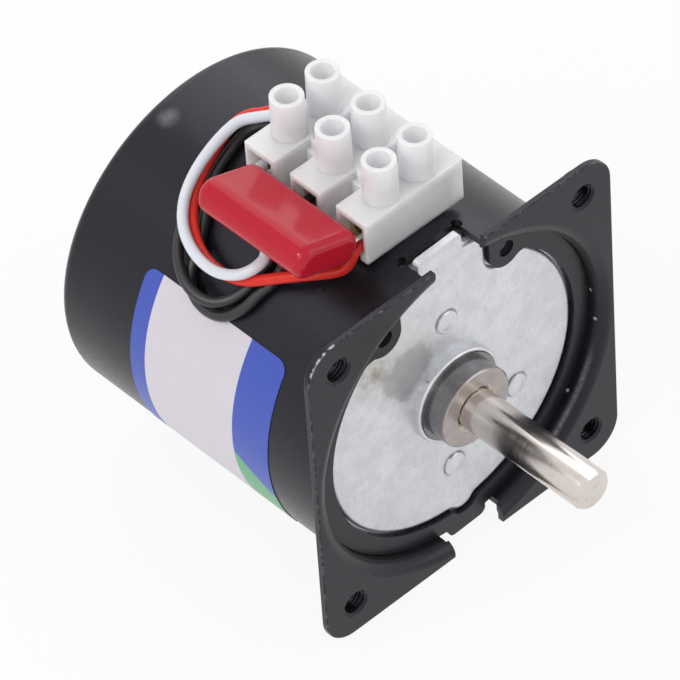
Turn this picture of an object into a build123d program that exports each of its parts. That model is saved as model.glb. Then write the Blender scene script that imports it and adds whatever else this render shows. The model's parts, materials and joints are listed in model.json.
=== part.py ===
from build123d import *

import os
from math import atan2, hypot, pi, radians, sin, cos, sqrt, tan

# Flat synchronous gear motor, two coils and a phasing capacitor, wired to a
# three-pole terminal block. Millimetres.
# Frame: origin on the shaft axis at the flange's front face. The shaft points
# along -Y, the can runs back along +Y, and the terminal block is on the +Z side.

# ---------------------------------------------------------------- driving sizes
CAN_R = 30.0
CAN_LENGTH = 60.0
SHEET = 1.2
FLANGE_OVERHANG = 1.4
FLANGE_SIDE = 2 * (CAN_R + FLANGE_OVERHANG)
FLANGE_CORNER_R = 5.5
FLANGE_EDGE_R = 0.25
HOLE_MARGIN = 6.0
HOLE_PITCH = FLANGE_SIDE - 2 * HOLE_MARGIN
SHAFT_R = 3.5
SHAFT_STEP = 0.2
JOURNAL_R = SHAFT_R - SHAFT_STEP
SHAFT_REACH = 26.8
POLE_PITCH = 10.0
LEAD_DIAMETER = 1.8

# ------------------------------------------------------------------- clearances
RUNNING = 0.05
SLIP = 0.1
LOOSE = 0.3

# ------------------------------------------------------------- can and its mouth
CAN_INNER_R = CAN_R - SHEET
MOUTH_R = 2.2
REAR_EDGE_R = 1.8
TAPPED_CORE_R = 2.1
TAPPED_RIM_R = 2.5
COLLAR_R = 3.3
COLLAR_DEPTH = 2.0
NOTCH_WIDTH = 11.4
NOTCH_LIP_WIDTH = 10.4
NOTCH_DEPTH = 6.9
NOTCH_RELIEF_R = 0.9
LOWER_NOTCH_SHIFT = 0.8

# ------------------------------------------------ front ring and gearbox casing
ASSEMBLY_TURN = -2.0
RING_FRONT = 2.9
RING_THICKNESS = 1.4
RING_REAR = RING_FRONT + RING_THICKNESS
RING_WIDTH = 3.25
RING_INNER_R = CAN_INNER_R - RING_WIDTH
RING_OUTER_R = CAN_INNER_R - SLIP
LUG_ANGLE = 30.0
LUG_CENTRE_R = RING_INNER_R - 0.15
LUG_R = 3.4
LUG_HOLE_R = 1.45
LUG_BLEND_R = 2.6
KEY_BLEND_R = 1.3
KEY_R = 3.2
KEY_CENTRE_R = RING_INNER_R - 1.9
RING_TAB_WIDTH = 7.8
RING_TAB_PROUD = 0.2
RING_TAB_REACH = CAN_R + RING_TAB_PROUD
RING_TAB_CORNER_R = 1.2
COVER_FRONT = 3.5
COVER_THICKNESS = 1.6
COVER_REAR = COVER_FRONT + COVER_THICKNESS
COVER_EDGE_R = 0.8
COVER_RIM_R = CAN_INNER_R - LOOSE
COVER_TAB_WIDTH = 8.9
COVER_TAB_PROUD = 1.25
COVER_TAB_REACH = CAN_R + COVER_TAB_PROUD
COVER_TAB_THICKNESS = 1.2
BOSS_R = 8.45
BOSS_FRONT = 2.1
BOSS_EDGE_R = 0.35
BUSH_SHOULDER_R = 7.8
BUSH_R = 7.05
BUSH_FRONT = -1.7
BUSH_COLLAR_R = 9.6
BUSH_COLLAR = 0.8
CUP_WALL = 0.9
CUP_GAP = 0.4
CUP_OUTER_R = CAN_INNER_R - CUP_GAP
CUP_INNER_R = CUP_OUTER_R - CUP_WALL
CUP_FLOOR = 1.2

# ------------------------------------------------------------------- gear train
MODULE = 0.5
FACE_WIDTH = 2.6
LEVEL_PITCH = 3.1
TOOTH_TIP = 0.9 * MODULE
TOOTH_ROOT = 1.15 * MODULE
FAST_PINION_TEETH = 18
SLOW_PINION_TEETH = 20
# A pinion and its wheel together have as many teeth as the cup has room for, and
# that sets how far the spindles stand from the shaft.
WHEEL_GAP = 0.55
PINION_PITCH_R = FAST_PINION_TEETH * MODULE / 2
GEAR_ROOM = CUP_INNER_R - WHEEL_GAP - TOOTH_TIP + PINION_PITCH_R
TEETH_TOTAL = round(GEAR_ROOM / MODULE)
GEAR_CENTRES = TEETH_TOTAL * MODULE / 2
TOOTH_BACKLASH = 0.14
FLANK_ANGLE = 20.0
SPINDLE_R = 1.0
SPINDLE_HEAD_R = 1.95
SPINDLE_HEAD_RISE = 0.35
SPINDLE_NECK_R = 1.5
SPINDLE_ANGLES = (0.0, 124.0, 184.0)
SLEEVE_R = 1.65
HUB_R = 2.3
TAIL_R = 2.5
IDLER_HUB_R = 3.8
FIRST_LEVEL = COVER_REAR + BUSH_COLLAR + 0.6

# ------------------------------------------------------------- stator and rotor
STATOR_GAP = 0.3
CLAW_PLATE = 1.2
CLAW_R = 14.0
CLAW_THICKNESS = 1.2
CLAW_COUNT = 8
CLAW_TIP_GAP = 1.2
CLAW_ROOT_WIDTH = 4.6
CLAW_TIP_WIDTH = 2.6
BOBBIN_GAP = 1.8
BOBBIN_R = CAN_INNER_R - BOBBIN_GAP
BOBBIN_WALL = 1.0
COIL_DEPTH = 1.2
COIL_OUTER_R = BOBBIN_R - COIL_DEPTH
PLATE_GAP = 0.4
PLATE_R = CAN_INNER_R - PLATE_GAP
AIR_GAP = 0.6
ROTOR_R = CLAW_R - AIR_GAP
MAGNET_WALL = 3.6
ROTOR_SHAFT_R = 1.5
ROTOR_BUSH_R = 4.2
BEARING_PLATE = 1.1

# --------------------------------------------------------------- terminal block
BLOCK_BASE = CAN_R + RUNNING
BLOCK_HEIGHT = 8.0
BLOCK_TOP = CAN_R + BLOCK_HEIGHT
BLOCK_WIDTH = 20.0
POLE_WIDTH = 6.6
FIRST_POLE = 12.85
TOWER_X = 3.7
TOWER_HEIGHT = 7.3
TOWER_TOP = BLOCK_TOP + TOWER_HEIGHT
TOWER_ROOT_R = 2.8
TOWER_TIP_R = 2.7
TOWER_BORE_R = 1.85
CHANNEL_WIDTH = 5.0
CHANNEL_HEIGHT = 5.2
CHANNEL_RISE = 1.7
CHANNEL_FLOOR = CAN_R + CHANNEL_RISE
WEB_HALF = 3.5
WEB_HEIGHT = 6.2
WEB_TOP = CAN_R + WEB_HEIGHT
FOOT_WIDTH = 1.6
FOOT_HEIGHT = 0.9
BLOCK_BOSS_R = 3.0
BLOCK_SCREW_R = 1.5
BLOCK_SCREW_HEAD_R = 2.4
BLOCK_SCREW_HEAD = 2.0
INSERT_LENGTH = 16.0
INSERT_BORE_R = 1.7
CLAMP_SCREW_R = 1.2
CLAMP_SCREW_HEAD_R = 1.7
CLAMP_SCREW_RISE = 3.2
CLAMP_SCREW_TOP = BLOCK_TOP + CLAMP_SCREW_RISE
SLOT_WIDTH = 0.6
SLOT_DEPTH = 0.7

# ------------------------------------------------------- capacitor, label, leads
CAPACITOR_RISE = 6.5
CAPACITOR_AT = (-17.2, 21.2, CAN_R + CAPACITOR_RISE)
CAPACITOR_SIZE = (12.5, 23.0, 6.0)
CAPACITOR_SIDE_R = 2.7
CAPACITOR_END_R = 1.6
CAPACITOR_TILT = 18.4
CAPACITOR_PITCH = 20.0
CAPACITOR_LEAD_R = 0.4
CAPACITOR_LEAD_RISE = 4.7
CAPACITOR_LEAD_HEIGHT = CAN_R + CAPACITOR_LEAD_RISE
LABEL_TOP_ANGLE = 54.5
LABEL_SWEEP = 71.0
LABEL_FRONT = 12.5
LABEL_REAR = 43.4
LABEL_THICKNESS = 0.1
LABEL_GAP = 0.02
LABEL_CORNER_R = 2.0
GROMMET_AT = (1.6, 39.6)
GROMMET_R = 3.3
GROMMET_NECK_R = 2.6
GROMMET_RISE = 1.0
GROMMET_TOP = CAN_R + GROMMET_RISE
GROMMET_POCKET_R = 1.4
GROMMET_POCKET_DROP = 0.8
GROMMET_SEAT = CAN_R - GROMMET_POCKET_DROP

# Each lead's route, from its pocket in the grommet to the face of its insert,
# written for a can of this radius.
ROUTE_CAN_R = 30.0
WHITE_ROUTE = [
    (1.6, 38.2, 29.2), (1.6, 38.2, 32.8), (-0.2, 38.8, 35.2), (-3.2, 40.8, 35.3),
    (-5.3, 42.5, 35.0), (-8.3, 42.7, 34.3), (-12.0, 42.4, 33.1), (-15.6, 41.8, 31.5),
    (-19.1, 40.6, 29.2), (-22.0, 37.8, 27.1), (-23.7, 33.4, 25.7), (-24.1, 28.5, 25.6),
    (-22.8, 24.6, 26.6), (-20.5, 22.8, 28.0), (-17.7, 23.2, 28.6), (-15.2, 27.4, 31.3),
    (-13.1, 31.0, 30.0), (-12.2, 33.8, 31.0), (-10.4, 34.2, 33.2), (-8.0, 34.2, 33.2),
]
RED_ROUTE = [
    (3.0, 39.6, 29.2), (3.0, 39.6, 32.2), (1.4, 40.3, 34.6), (-1.4, 41.5, 34.4),
    (-2.1, 44.2, 33.0), (-5.5, 44.4, 32.7), (-9.5, 43.4, 31.8), (-13.8, 42.2, 30.2),
    (-17.5, 40.4, 28.2), (-20.4, 37.4, 26.1), (-22.3, 33.1, 24.5), (-22.6, 28.3, 24.2),
    (-21.8, 24.2, 25.0), (-20.0, 21.0, 26.4), (-17.3, 16.4, 28.4), (-14.4, 13.0, 29.2),
    (-12.5, 11.4, 29.8), (-10.5, 11.4, 33.0), (-8.0, 11.4, 33.0),
]
BLACK_ROUTE_1 = [
    (1.6, 41.0, 29.2), (1.6, 41.0, 31.8), (0.9, 42.0, 32.5), (-1.1, 44.0, 31.5),
    (-2.2, 45.6, 31.0), (-7.1, 44.9, 30.4), (-11.8, 43.9, 28.8), (-15.7, 42.5, 27.0),
    (-18.9, 41.2, 24.6), (-21.9, 39.4, 22.8), (-24.7, 36.2, 21.9), (-26.1, 32.5, 20.7),
    (-25.7, 28.7, 20.2), (-23.6, 26.2, 20.8), (-21.2, 24.6, 22.7), (-18.4, 23.9, 25.2),
    (-15.4, 23.8, 27.0), (-12.6, 23.8, 29.5), (-10.5, 23.8, 33.0), (-8.0, 23.8, 33.0),
]
BLACK_ROUTE_2 = [
    (0.2, 39.6, 29.2), (0.2, 39.6, 31.8), (-0.6, 40.6, 32.5), (-2.4, 42.6, 31.5),
    (-4.4, 43.3, 30.7), (-8.4, 42.5, 30.0), (-11.8, 41.7, 28.8), (-14.9, 40.3, 27.3),
    (-17.5, 37.7, 25.8), (-21.2, 35.8, 22.9), (-23.9, 35.2, 20.0), (-25.5, 31.7, 17.8),
    (-25.4, 26.7, 18.0), (-23.3, 23.4, 20.6), (-20.9, 22.4, 23.1), (-18.5, 20.9, 25.1),
    (-15.4, 21.9, 27.0), (-12.6, 21.9, 29.5), (-10.5, 21.9, 33.0), (-8.0, 21.9, 33.0),
]


# ----------------------------------------------------------------------- helpers
def facing(y):
    """Plane across the shaft axis at y, seen from the front: X right, Z up."""
    return Plane(origin=(0, y, 0), x_dir=(1, 0, 0), z_dir=(0, -1, 0))


def slab(sketch, front, rear):
    """A sketch in (X, Z) made solid from y = front to y = rear."""
    return extrude(facing(rear) * sketch, rear - front)


def disc(radius, front, rear, at=(0.0, 0.0)):
    """A round bar along Y between two stations."""
    return slab(Pos(*at) * Circle(radius), front, rear)


def ring(outer, inner, front, rear, at=(0.0, 0.0)):
    """A round tube along Y between two stations."""
    return slab(Pos(*at) * (Circle(outer) - Circle(inner)), front, rear)


def post(radius, low, high, at):
    """A round bar along Z at (x, y) between two heights."""
    return extrude(Plane(origin=(at[0], at[1], low)) * Circle(radius), high - low)


def block(x_span, y_span, z_span):
    """A box from its three spans."""
    size = [span[1] - span[0] for span in (x_span, y_span, z_span)]
    centre = [(span[1] + span[0]) / 2 for span in (x_span, y_span, z_span)]
    return Pos(*centre) * Box(*size)


def polar(radius, angle):
    """Point (x, z) at an angle in degrees, clockwise from +Z as seen from the front."""
    return radius * sin(radians(angle)), radius * cos(radians(angle))


def turned(shape, angle):
    """A shape turned about the shaft axis, clockwise as seen from the front."""
    return Rot(0, angle, 0) * shape


def revolved(points):
    """A solid of revolution about Y from a closed outline of (radius, y) points."""
    return revolve(make_face(Polyline(*points, close=True)), axis=Axis.Y)


# ------------------------------------------------------------------ can and face
def mouth_profile():
    """Half section of the can wall with its rear corner and rolled mouth."""
    lip_r = CAN_INNER_R + MOUTH_R
    floor = CAN_LENGTH - SHEET
    inner_edge_r = REAR_EDGE_R - SHEET
    outer_corner = (CAN_R - REAR_EDGE_R, CAN_LENGTH - REAR_EDGE_R)
    edges = [
        Line((0, CAN_LENGTH), (CAN_R - REAR_EDGE_R, CAN_LENGTH)),
        CenterArc(outer_corner, REAR_EDGE_R, 0, 90),
        Line((CAN_R, CAN_LENGTH - REAR_EDGE_R), (CAN_R, MOUTH_R)),
        CenterArc((lip_r, MOUTH_R), MOUTH_R - SHEET, 180, 90),
        Line((lip_r, SHEET), (lip_r, 0)),
        CenterArc((lip_r, MOUTH_R), MOUTH_R, 180, 90),
        Line((CAN_INNER_R, MOUTH_R), (CAN_INNER_R, floor - inner_edge_r)),
        CenterArc((CAN_INNER_R - inner_edge_r, floor - inner_edge_r), inner_edge_r, 0, 90),
        Line((CAN_INNER_R - inner_edge_r, floor), (0, floor)),
        Line((0, floor), (0, CAN_LENGTH)),
    ]
    return make_face(Wire(Curve() + edges))


def flange_corners():
    """The four hole centres in (x, z)."""
    half = HOLE_PITCH / 2
    return [(sx * half, sz * half) for sx in (-1, 1) for sz in (-1, 1)]


def notch(side):
    """Cutter for the notch in the middle of the top (+1) or bottom (-1) side."""
    shift = 0.0 if side > 0 else LOWER_NOTCH_SHIFT
    z_span = sorted((side * (CAN_R - 4.0), side * (CAN_R + 4.0)))
    half, lip_half = NOTCH_WIDTH / 2, NOTCH_LIP_WIDTH / 2
    cutter = block((shift - half, shift + half), (SHEET + LOOSE, NOTCH_DEPTH), z_span)
    cutter += block((shift - lip_half, shift + lip_half), (-1.0, NOTCH_DEPTH), z_span)
    for end in (-1, 1):
        cutter += post(NOTCH_RELIEF_R, *z_span, at=(shift + end * half, NOTCH_DEPTH))
    return cutter


def motor_can():
    """Deep-drawn can with its rolled mouth, square flange and plunged, tapped holes."""
    lip_r = CAN_INNER_R + MOUTH_R
    can = revolve(mouth_profile(), axis=Axis.Y)
    plate = slab(RectangleRounded(FLANGE_SIDE, FLANGE_SIDE, FLANGE_CORNER_R), 0.0, SHEET)
    for face in (0, -1):
        plate = fillet(plate.faces().sort_by(Axis.Y)[face].edges(), FLANGE_EDGE_R)
    can += plate - disc(lip_r - SLIP, -1.0, SHEET + 1.0)
    for corner in flange_corners():
        can += disc(COLLAR_R, 0.0, SHEET + COLLAR_DEPTH, at=corner)
    for corner in flange_corners():
        rim = TAPPED_RIM_R - TAPPED_CORE_R
        bore = disc(TAPPED_CORE_R, -1.0, SHEET + COLLAR_DEPTH + 1.0, at=corner)
        mouth = facing(0.0) * Pos(*corner) * Circle(TAPPED_RIM_R)
        bore += extrude(mouth, -rim, taper=45)
        can -= bore
    can -= notch(1)
    can -= notch(-1)
    can -= post(GROMMET_NECK_R, CAN_R - 4.0, CAN_R + 2.0, at=GROMMET_AT)
    can -= post(BLOCK_SCREW_R, CAN_R - 4.0, CAN_R + 2.0, at=(0.0, screw_station()))
    return can


def lug_points():
    """Hole centres (x, z) of the front ring's two lugs."""
    return [polar(LUG_CENTRE_R, side * LUG_ANGLE) for side in (-1, 1)]


def window_plug(gap, front, rear):
    """Plug that fills the ring's opening (circle, key, lugs and crown) with a gap all round."""
    lug_x, lug_z = polar(LUG_CENTRE_R, LUG_ANGLE)
    above = (Align.CENTER, Align.MIN)
    outline = Circle(RING_INNER_R - gap) + Pos(0, -KEY_CENTRE_R) * Circle(KEY_R - gap)
    for lug in lug_points():
        outline -= Pos(*lug) * Circle(LUG_R + gap)
    outline -= Pos(0, lug_z) * Rectangle(2 * lug_x, CAN_R, align=above)
    outline += Pos(0, lug_z) * Rectangle(2 * (lug_x - LUG_R - gap), CAN_R - lug_z, align=above)
    plug = slab(outline, front, rear)
    corners = plug.edges().filter_by(Axis.Y)
    plug = fillet([e for e in corners if e.center().Z < -KEY_CENTRE_R], KEY_BLEND_R + gap)
    corners = plug.edges().filter_by(Axis.Y)
    plug = fillet([e for e in corners if abs(e.center().X) > lug_x], LUG_BLEND_R - gap)
    return plug


def front_ring():
    """Black clamping ring, open at the top, with two lugs and a tab through the notch."""
    body = ring(RING_OUTER_R, LUG_CENTRE_R - LUG_R - SLIP, RING_FRONT, RING_REAR)
    body -= window_plug(0.0, RING_FRONT - SLIP, RING_REAR + SLIP)
    tab = Rectangle(RING_TAB_WIDTH, RING_TAB_REACH, align=(Align.CENTER, Align.MAX))
    tab = fillet([v for v in tab.vertices() if v.Y < -RING_INNER_R], RING_TAB_CORNER_R)
    body += slab(tab - Circle(RING_OUTER_R - SLIP), RING_FRONT, RING_REAR)
    for lug in lug_points():
        body -= disc(LUG_HOLE_R, 0.0, RING_REAR + 1.0, at=lug)
    return turned(body, ASSEMBLY_TURN)


def spindle_points():
    """The three gear spindles in (x, z)."""
    return [polar(GEAR_CENTRES, angle + ASSEMBLY_TURN) for angle in SPINDLE_ANGLES]


def gearbox_cover():
    """Plated cover: raised face in the ring's window, rim behind the ring, tab and boss."""
    face = window_plug(LOOSE, COVER_FRONT, RING_REAR + SLIP)
    face &= disc(COVER_RIM_R, COVER_FRONT, RING_REAR + SLIP)
    face = fillet(face.edges().filter_by(Axis.Y).group_by(Axis.Z)[-1], COVER_EDGE_R)
    face = fillet(face.faces().sort_by(Axis.Y)[0].edges(), COVER_EDGE_R)
    tab = Rectangle(COVER_TAB_WIDTH, COVER_TAB_REACH, align=(Align.CENTER, Align.MIN))
    tab = fillet([v for v in tab.vertices() if v.Y > LUG_CENTRE_R], COVER_EDGE_R)
    tab_rear = COVER_FRONT + COVER_TAB_THICKNESS
    face += slab(tab - Circle(LUG_CENTRE_R - LUG_R), COVER_FRONT, tab_rear)
    cover = turned(face + disc(COVER_RIM_R, RING_REAR + RUNNING, COVER_REAR), ASSEMBLY_TURN)
    boss = disc(BOSS_R, BOSS_FRONT, COVER_FRONT + SLIP)
    cover += fillet(boss.faces().sort_by(Axis.Y)[0].edges(), BOSS_EDGE_R)
    cover -= disc(BUSH_SHOULDER_R + SLIP, 0.0, COVER_REAR + 1.0)
    for point in spindle_points():
        cover -= disc(SPINDLE_NECK_R, 0.0, COVER_REAR + 1.0, at=point)
    return cover


def output_bush():
    """Sintered bush: collar behind the cover, shoulder in it and a barrel out in front."""
    mouth = 0.65
    rear = COVER_REAR + RUNNING + BUSH_COLLAR
    bore_r = JOURNAL_R + RUNNING
    return revolved([
        (bore_r, BUSH_FRONT + mouth), (bore_r + mouth, BUSH_FRONT),
        (BUSH_R - 0.25, BUSH_FRONT), (BUSH_R, BUSH_FRONT + 0.25),
        (BUSH_R, BOSS_FRONT - 0.2), (BUSH_SHOULDER_R, BOSS_FRONT - 0.2),
        (BUSH_SHOULDER_R, COVER_REAR + RUNNING), (BUSH_COLLAR_R, COVER_REAR + RUNNING),
        (BUSH_COLLAR_R, rear), (bore_r, rear),
    ])


def gearbox_cup():
    """Drawn cup behind the cover, closing the gear space; its floor carries the spindles."""
    front, rear = COVER_REAR + 2 * RUNNING, cup_floor_station() + CUP_FLOOR
    cup = disc(CUP_OUTER_R, front, rear)
    cup = fillet(cup.faces().sort_by(Axis.Y)[-1].edges(), 1.5)
    cup -= disc(CUP_INNER_R, front - 1.0, cup_floor_station())
    cup -= disc(ROTOR_BUSH_R, front, rear + 1.0)
    for point in spindle_points():
        cup -= disc(SPINDLE_R, front, rear + 1.0, at=point)
    return cup


def gear_spindles():
    """Three stepped steel spindles, headed over the cover and seated in the cup's floor."""
    rear = cup_floor_station() + CUP_FLOOR
    spindles = []
    for point in spindle_points():
        head = disc(SPINDLE_HEAD_R, COVER_FRONT - SPINDLE_HEAD_RISE, COVER_FRONT, at=point)
        head = fillet(head.faces().sort_by(Axis.Y)[0].edges(), SPINDLE_HEAD_RISE - RUNNING)
        head += disc(SPINDLE_NECK_R, COVER_FRONT, COVER_REAR + RUNNING, at=point)
        spindles.append(head + disc(SPINDLE_R, COVER_REAR, rear, at=point))
    return Compound(spindles)


# -------------------------------------------------------------------- gear train
def level(index):
    """Front and rear stations of a gear level, counted back from the cover."""
    front = FIRST_LEVEL + index * LEVEL_PITCH
    return front, front + FACE_WIDTH


def cup_floor_station():
    """Front face of the gearbox cup's floor, just behind the last gear level."""
    return level(4)[1] + 0.8


def toothed(teeth, bearing):
    """Gear outline with straight flanks; a tooth points along bearing (degrees)."""
    pitch_r = MODULE * teeth / 2
    tip_r, root_r = pitch_r + TOOTH_TIP, pitch_r - TOOTH_ROOT
    half = (pi * MODULE / 2 - TOOTH_BACKLASH) / 2
    slope = tan(radians(FLANK_ANGLE))
    points = []
    for tooth in range(teeth):
        centre = bearing + 360.0 * tooth / teeth
        for radius, side in ((root_r, -1), (tip_r, -1), (tip_r, 1), (root_r, 1)):
            width = half - slope * (radius - pitch_r)
            points.append(polar(radius, centre + side * width / radius * 180 / pi))
    return make_face(Polyline(*points, close=True))


def bearing_of(origin, target):
    """Direction from one (x, z) point to another, clockwise from +Z in degrees."""
    return atan2(target[0] - origin[0], target[1] - origin[1]) * 180 / pi


def pinion(teeth, at, partner, front, rear):
    """Pinion teeth at a point, one tooth pointing at the wheel that it drives."""
    return slab(Pos(*at) * toothed(teeth, bearing_of(at, partner)), front, rear)


def wheel(teeth, at, partner, front, rear, bore_r):
    """Spur wheel at a point, with a tooth space facing the pinion that drives it."""
    outline = toothed(teeth, bearing_of(at, partner) + 180.0 / teeth) - Circle(bore_r)
    return slab(Pos(*at) * outline, front, rear)


def staged_gear(at, from_point, to_point, wheel_level, pinion_level, pinion_teeth):
    """A wheel and the longer pinion staked into it, turning on one spindle."""
    wheel_front, wheel_rear = level(wheel_level)
    pinion_front = level(pinion_level)[0]
    wheel_teeth = TEETH_TOTAL - FAST_PINION_TEETH
    cup_side = cup_floor_station() - RUNNING
    cover_side = COVER_REAR + 2 * RUNNING
    gear_wheel = wheel(wheel_teeth, at, from_point, wheel_front, wheel_rear, HUB_R)
    gear_pinion = pinion(pinion_teeth, at, to_point, pinion_front, wheel_front)
    gear_pinion += disc(HUB_R, wheel_front, wheel_rear, at=at)
    gear_pinion += disc(SLEEVE_R, cover_side, cup_side, at=at)
    gear_pinion -= disc(SPINDLE_R + RUNNING, 0.0, CAN_LENGTH, at=at)
    return gear_wheel, gear_pinion


def idler_gear(from_point, to_point):
    """The middle gear, which turns freely on the tail of the output shaft."""
    wheel_front, wheel_rear = level(3)
    pinion_front = level(2)[0]
    wheel_teeth = TEETH_TOTAL - FAST_PINION_TEETH
    gear_wheel = wheel(wheel_teeth, (0.0, 0.0), from_point, wheel_front, wheel_rear, IDLER_HUB_R)
    gear_pinion = pinion(FAST_PINION_TEETH, (0.0, 0.0), to_point, pinion_front, wheel_front)
    gear_pinion += disc(IDLER_HUB_R, wheel_front, wheel_rear)
    gear_pinion += disc(IDLER_HUB_R, level(0)[1] + LOOSE, pinion_front)
    gear_pinion -= disc(TAIL_R + RUNNING, 0.0, CAN_LENGTH)
    return gear_wheel, gear_pinion


# ------------------------------------------------------------------ output shaft
def output_shaft():
    """Output shaft: flat on the drive end, journal in the bush, thinner tail behind."""
    front, gear_rear = -SHAFT_REACH, level(0)[1]
    shoulder = BUSH_FRONT - SLIP
    tail_rear = level(3)[1]
    tip = 0.45
    shaft = revolved([
        (0, front), (SHAFT_R - tip, front), (SHAFT_R, front + tip), (SHAFT_R, shoulder),
        (JOURNAL_R, shoulder), (JOURNAL_R, gear_rear), (TAIL_R, gear_rear),
        (TAIL_R, tail_rear - 0.2), (TAIL_R - 0.2, tail_rear), (0, tail_rear),
    ])
    flat_length, cutter_r, depth, bearing = 6.0, 21.0, 0.5, 212.0
    chord = SHAFT_R - depth
    cutter = block((-SHAFT_R, SHAFT_R), (front - 1.0, front + flat_length), (chord, 2 * SHAFT_R))
    wheel_cut = Pos(0, front + flat_length, chord + cutter_r) * Rot(0, 90, 0)
    cutter += wheel_cut * Cylinder(cutter_r, 2 * SHAFT_R)
    return shaft - turned(cutter, bearing)


def output_wheel(from_point):
    """The slow wheel, pressed on the output shaft."""
    front, rear = level(0)
    return wheel(TEETH_TOTAL - SLOW_PINION_TEETH, (0.0, 0.0), from_point, front, rear, JOURNAL_R)


def thrust_washer():
    """Washer between the bush's collar and the slow wheel."""
    front = COVER_REAR + BUSH_COLLAR + 2 * RUNNING
    return ring(JOURNAL_R + 2.6, JOURNAL_R, front, level(0)[0])


# ------------------------------------------------------------------------- motor
def claw_plate(front, direction, turn):
    """Pole plate with its claws bent over along Y towards direction (+1 or -1)."""
    plate = ring(PLATE_R, CLAW_R, front, front + CLAW_PLATE)
    root = front if direction > 0 else front + CLAW_PLATE
    tip = root + direction * (stack_length() - CLAW_PLATE - CLAW_TIP_GAP)
    outline = make_face(Polyline(
        (-CLAW_ROOT_WIDTH / 2, root), (CLAW_ROOT_WIDTH / 2, root),
        (CLAW_TIP_WIDTH / 2, tip), (-CLAW_TIP_WIDTH / 2, tip), close=True,
    ))
    reach = CLAW_R + CLAW_THICKNESS
    prism = extrude(Plane(origin=(0, 0, CLAW_R - 2.0)) * outline, 4.0)
    claw = prism & ring(reach, CLAW_R, min(root, tip), max(root, tip))
    for index in range(CLAW_COUNT):
        plate += turned(claw, turn + index * 360.0 / CLAW_COUNT)
    return plate


def bearing_plate_station():
    """Front face of the bearing plate at the rear of the can."""
    return CAN_LENGTH - SHEET - SLIP - BEARING_PLATE


def stator_station():
    """Front face of the first stator phase, just behind the gearbox cup."""
    return cup_floor_station() + CUP_FLOOR + STATOR_GAP


def stack_length():
    """Length of one stator phase: half of the room in front of the bearing plate."""
    return (bearing_plate_station() - SLIP - stator_station() - SLIP) / 2


def stator_stack(front):
    """One phase: two pole plates facing each other, with a bobbin and coil between."""
    rear = front + stack_length()
    inner = CLAW_R + CLAW_THICKNESS + LOOSE
    near, far = front + CLAW_PLATE + RUNNING, rear - CLAW_PLATE - RUNNING
    bobbin = ring(BOBBIN_R, inner, near, far)
    bobbin -= ring(BOBBIN_R + 1.0, inner + BOBBIN_WALL, near + BOBBIN_WALL, far - BOBBIN_WALL)
    coil = ring(COIL_OUTER_R, inner + BOBBIN_WALL, near + BOBBIN_WALL, far - BOBBIN_WALL)
    coil = fillet(coil.edges().filter_by(GeomType.CIRCLE).sort_by(SortBy.RADIUS)[-2:], 1.0)
    plates = (
        claw_plate(front, 1, 0.0),
        claw_plate(rear - CLAW_PLATE, -1, 180.0 / CLAW_COUNT),
    )
    return plates, bobbin, coil


def bearing_plate():
    """Steel plate across the rear of the can, with a collar for the rear bush."""
    front = bearing_plate_station()
    plate = disc(PLATE_R, front, front + BEARING_PLATE)
    plate += disc(ROTOR_BUSH_R + 1.2, front - 2.6, front)
    return plate - disc(ROTOR_BUSH_R, front - 4.0, front + 4.0)


def rotor_bush(front, rear):
    """Plain bush for the rotor shaft."""
    return ring(ROTOR_BUSH_R, ROTOR_SHAFT_R + RUNNING, front, rear)


def rotor_hub(front, rear):
    """Moulded hub that carries the magnet on the shaft: rim, web and boss."""
    rim_r = ROTOR_R - MAGNET_WALL
    middle = (front + rear) / 2
    hub = ring(rim_r, rim_r - 1.4, front, rear)
    hub += ring(rim_r - 1.0, ROTOR_SHAFT_R, middle - 1.5, middle + 1.5)
    return hub + ring(ROTOR_SHAFT_R + 1.8, ROTOR_SHAFT_R, front + 2.0, rear - 2.0)


# ---------------------------------------------------------------- terminal block
def pole_stations():
    """The three pole centres along Y, front to rear."""
    return [FIRST_POLE + index * POLE_PITCH for index in range(3)]


def screw_station():
    """The fixing screw, between the middle and rear poles."""
    return (pole_stations()[1] + pole_stations()[2]) / 2


def tower_points():
    """The six screw towers in (x, y)."""
    return [(side * TOWER_X, y) for y in pole_stations() for side in (-1, 1)]


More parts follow.
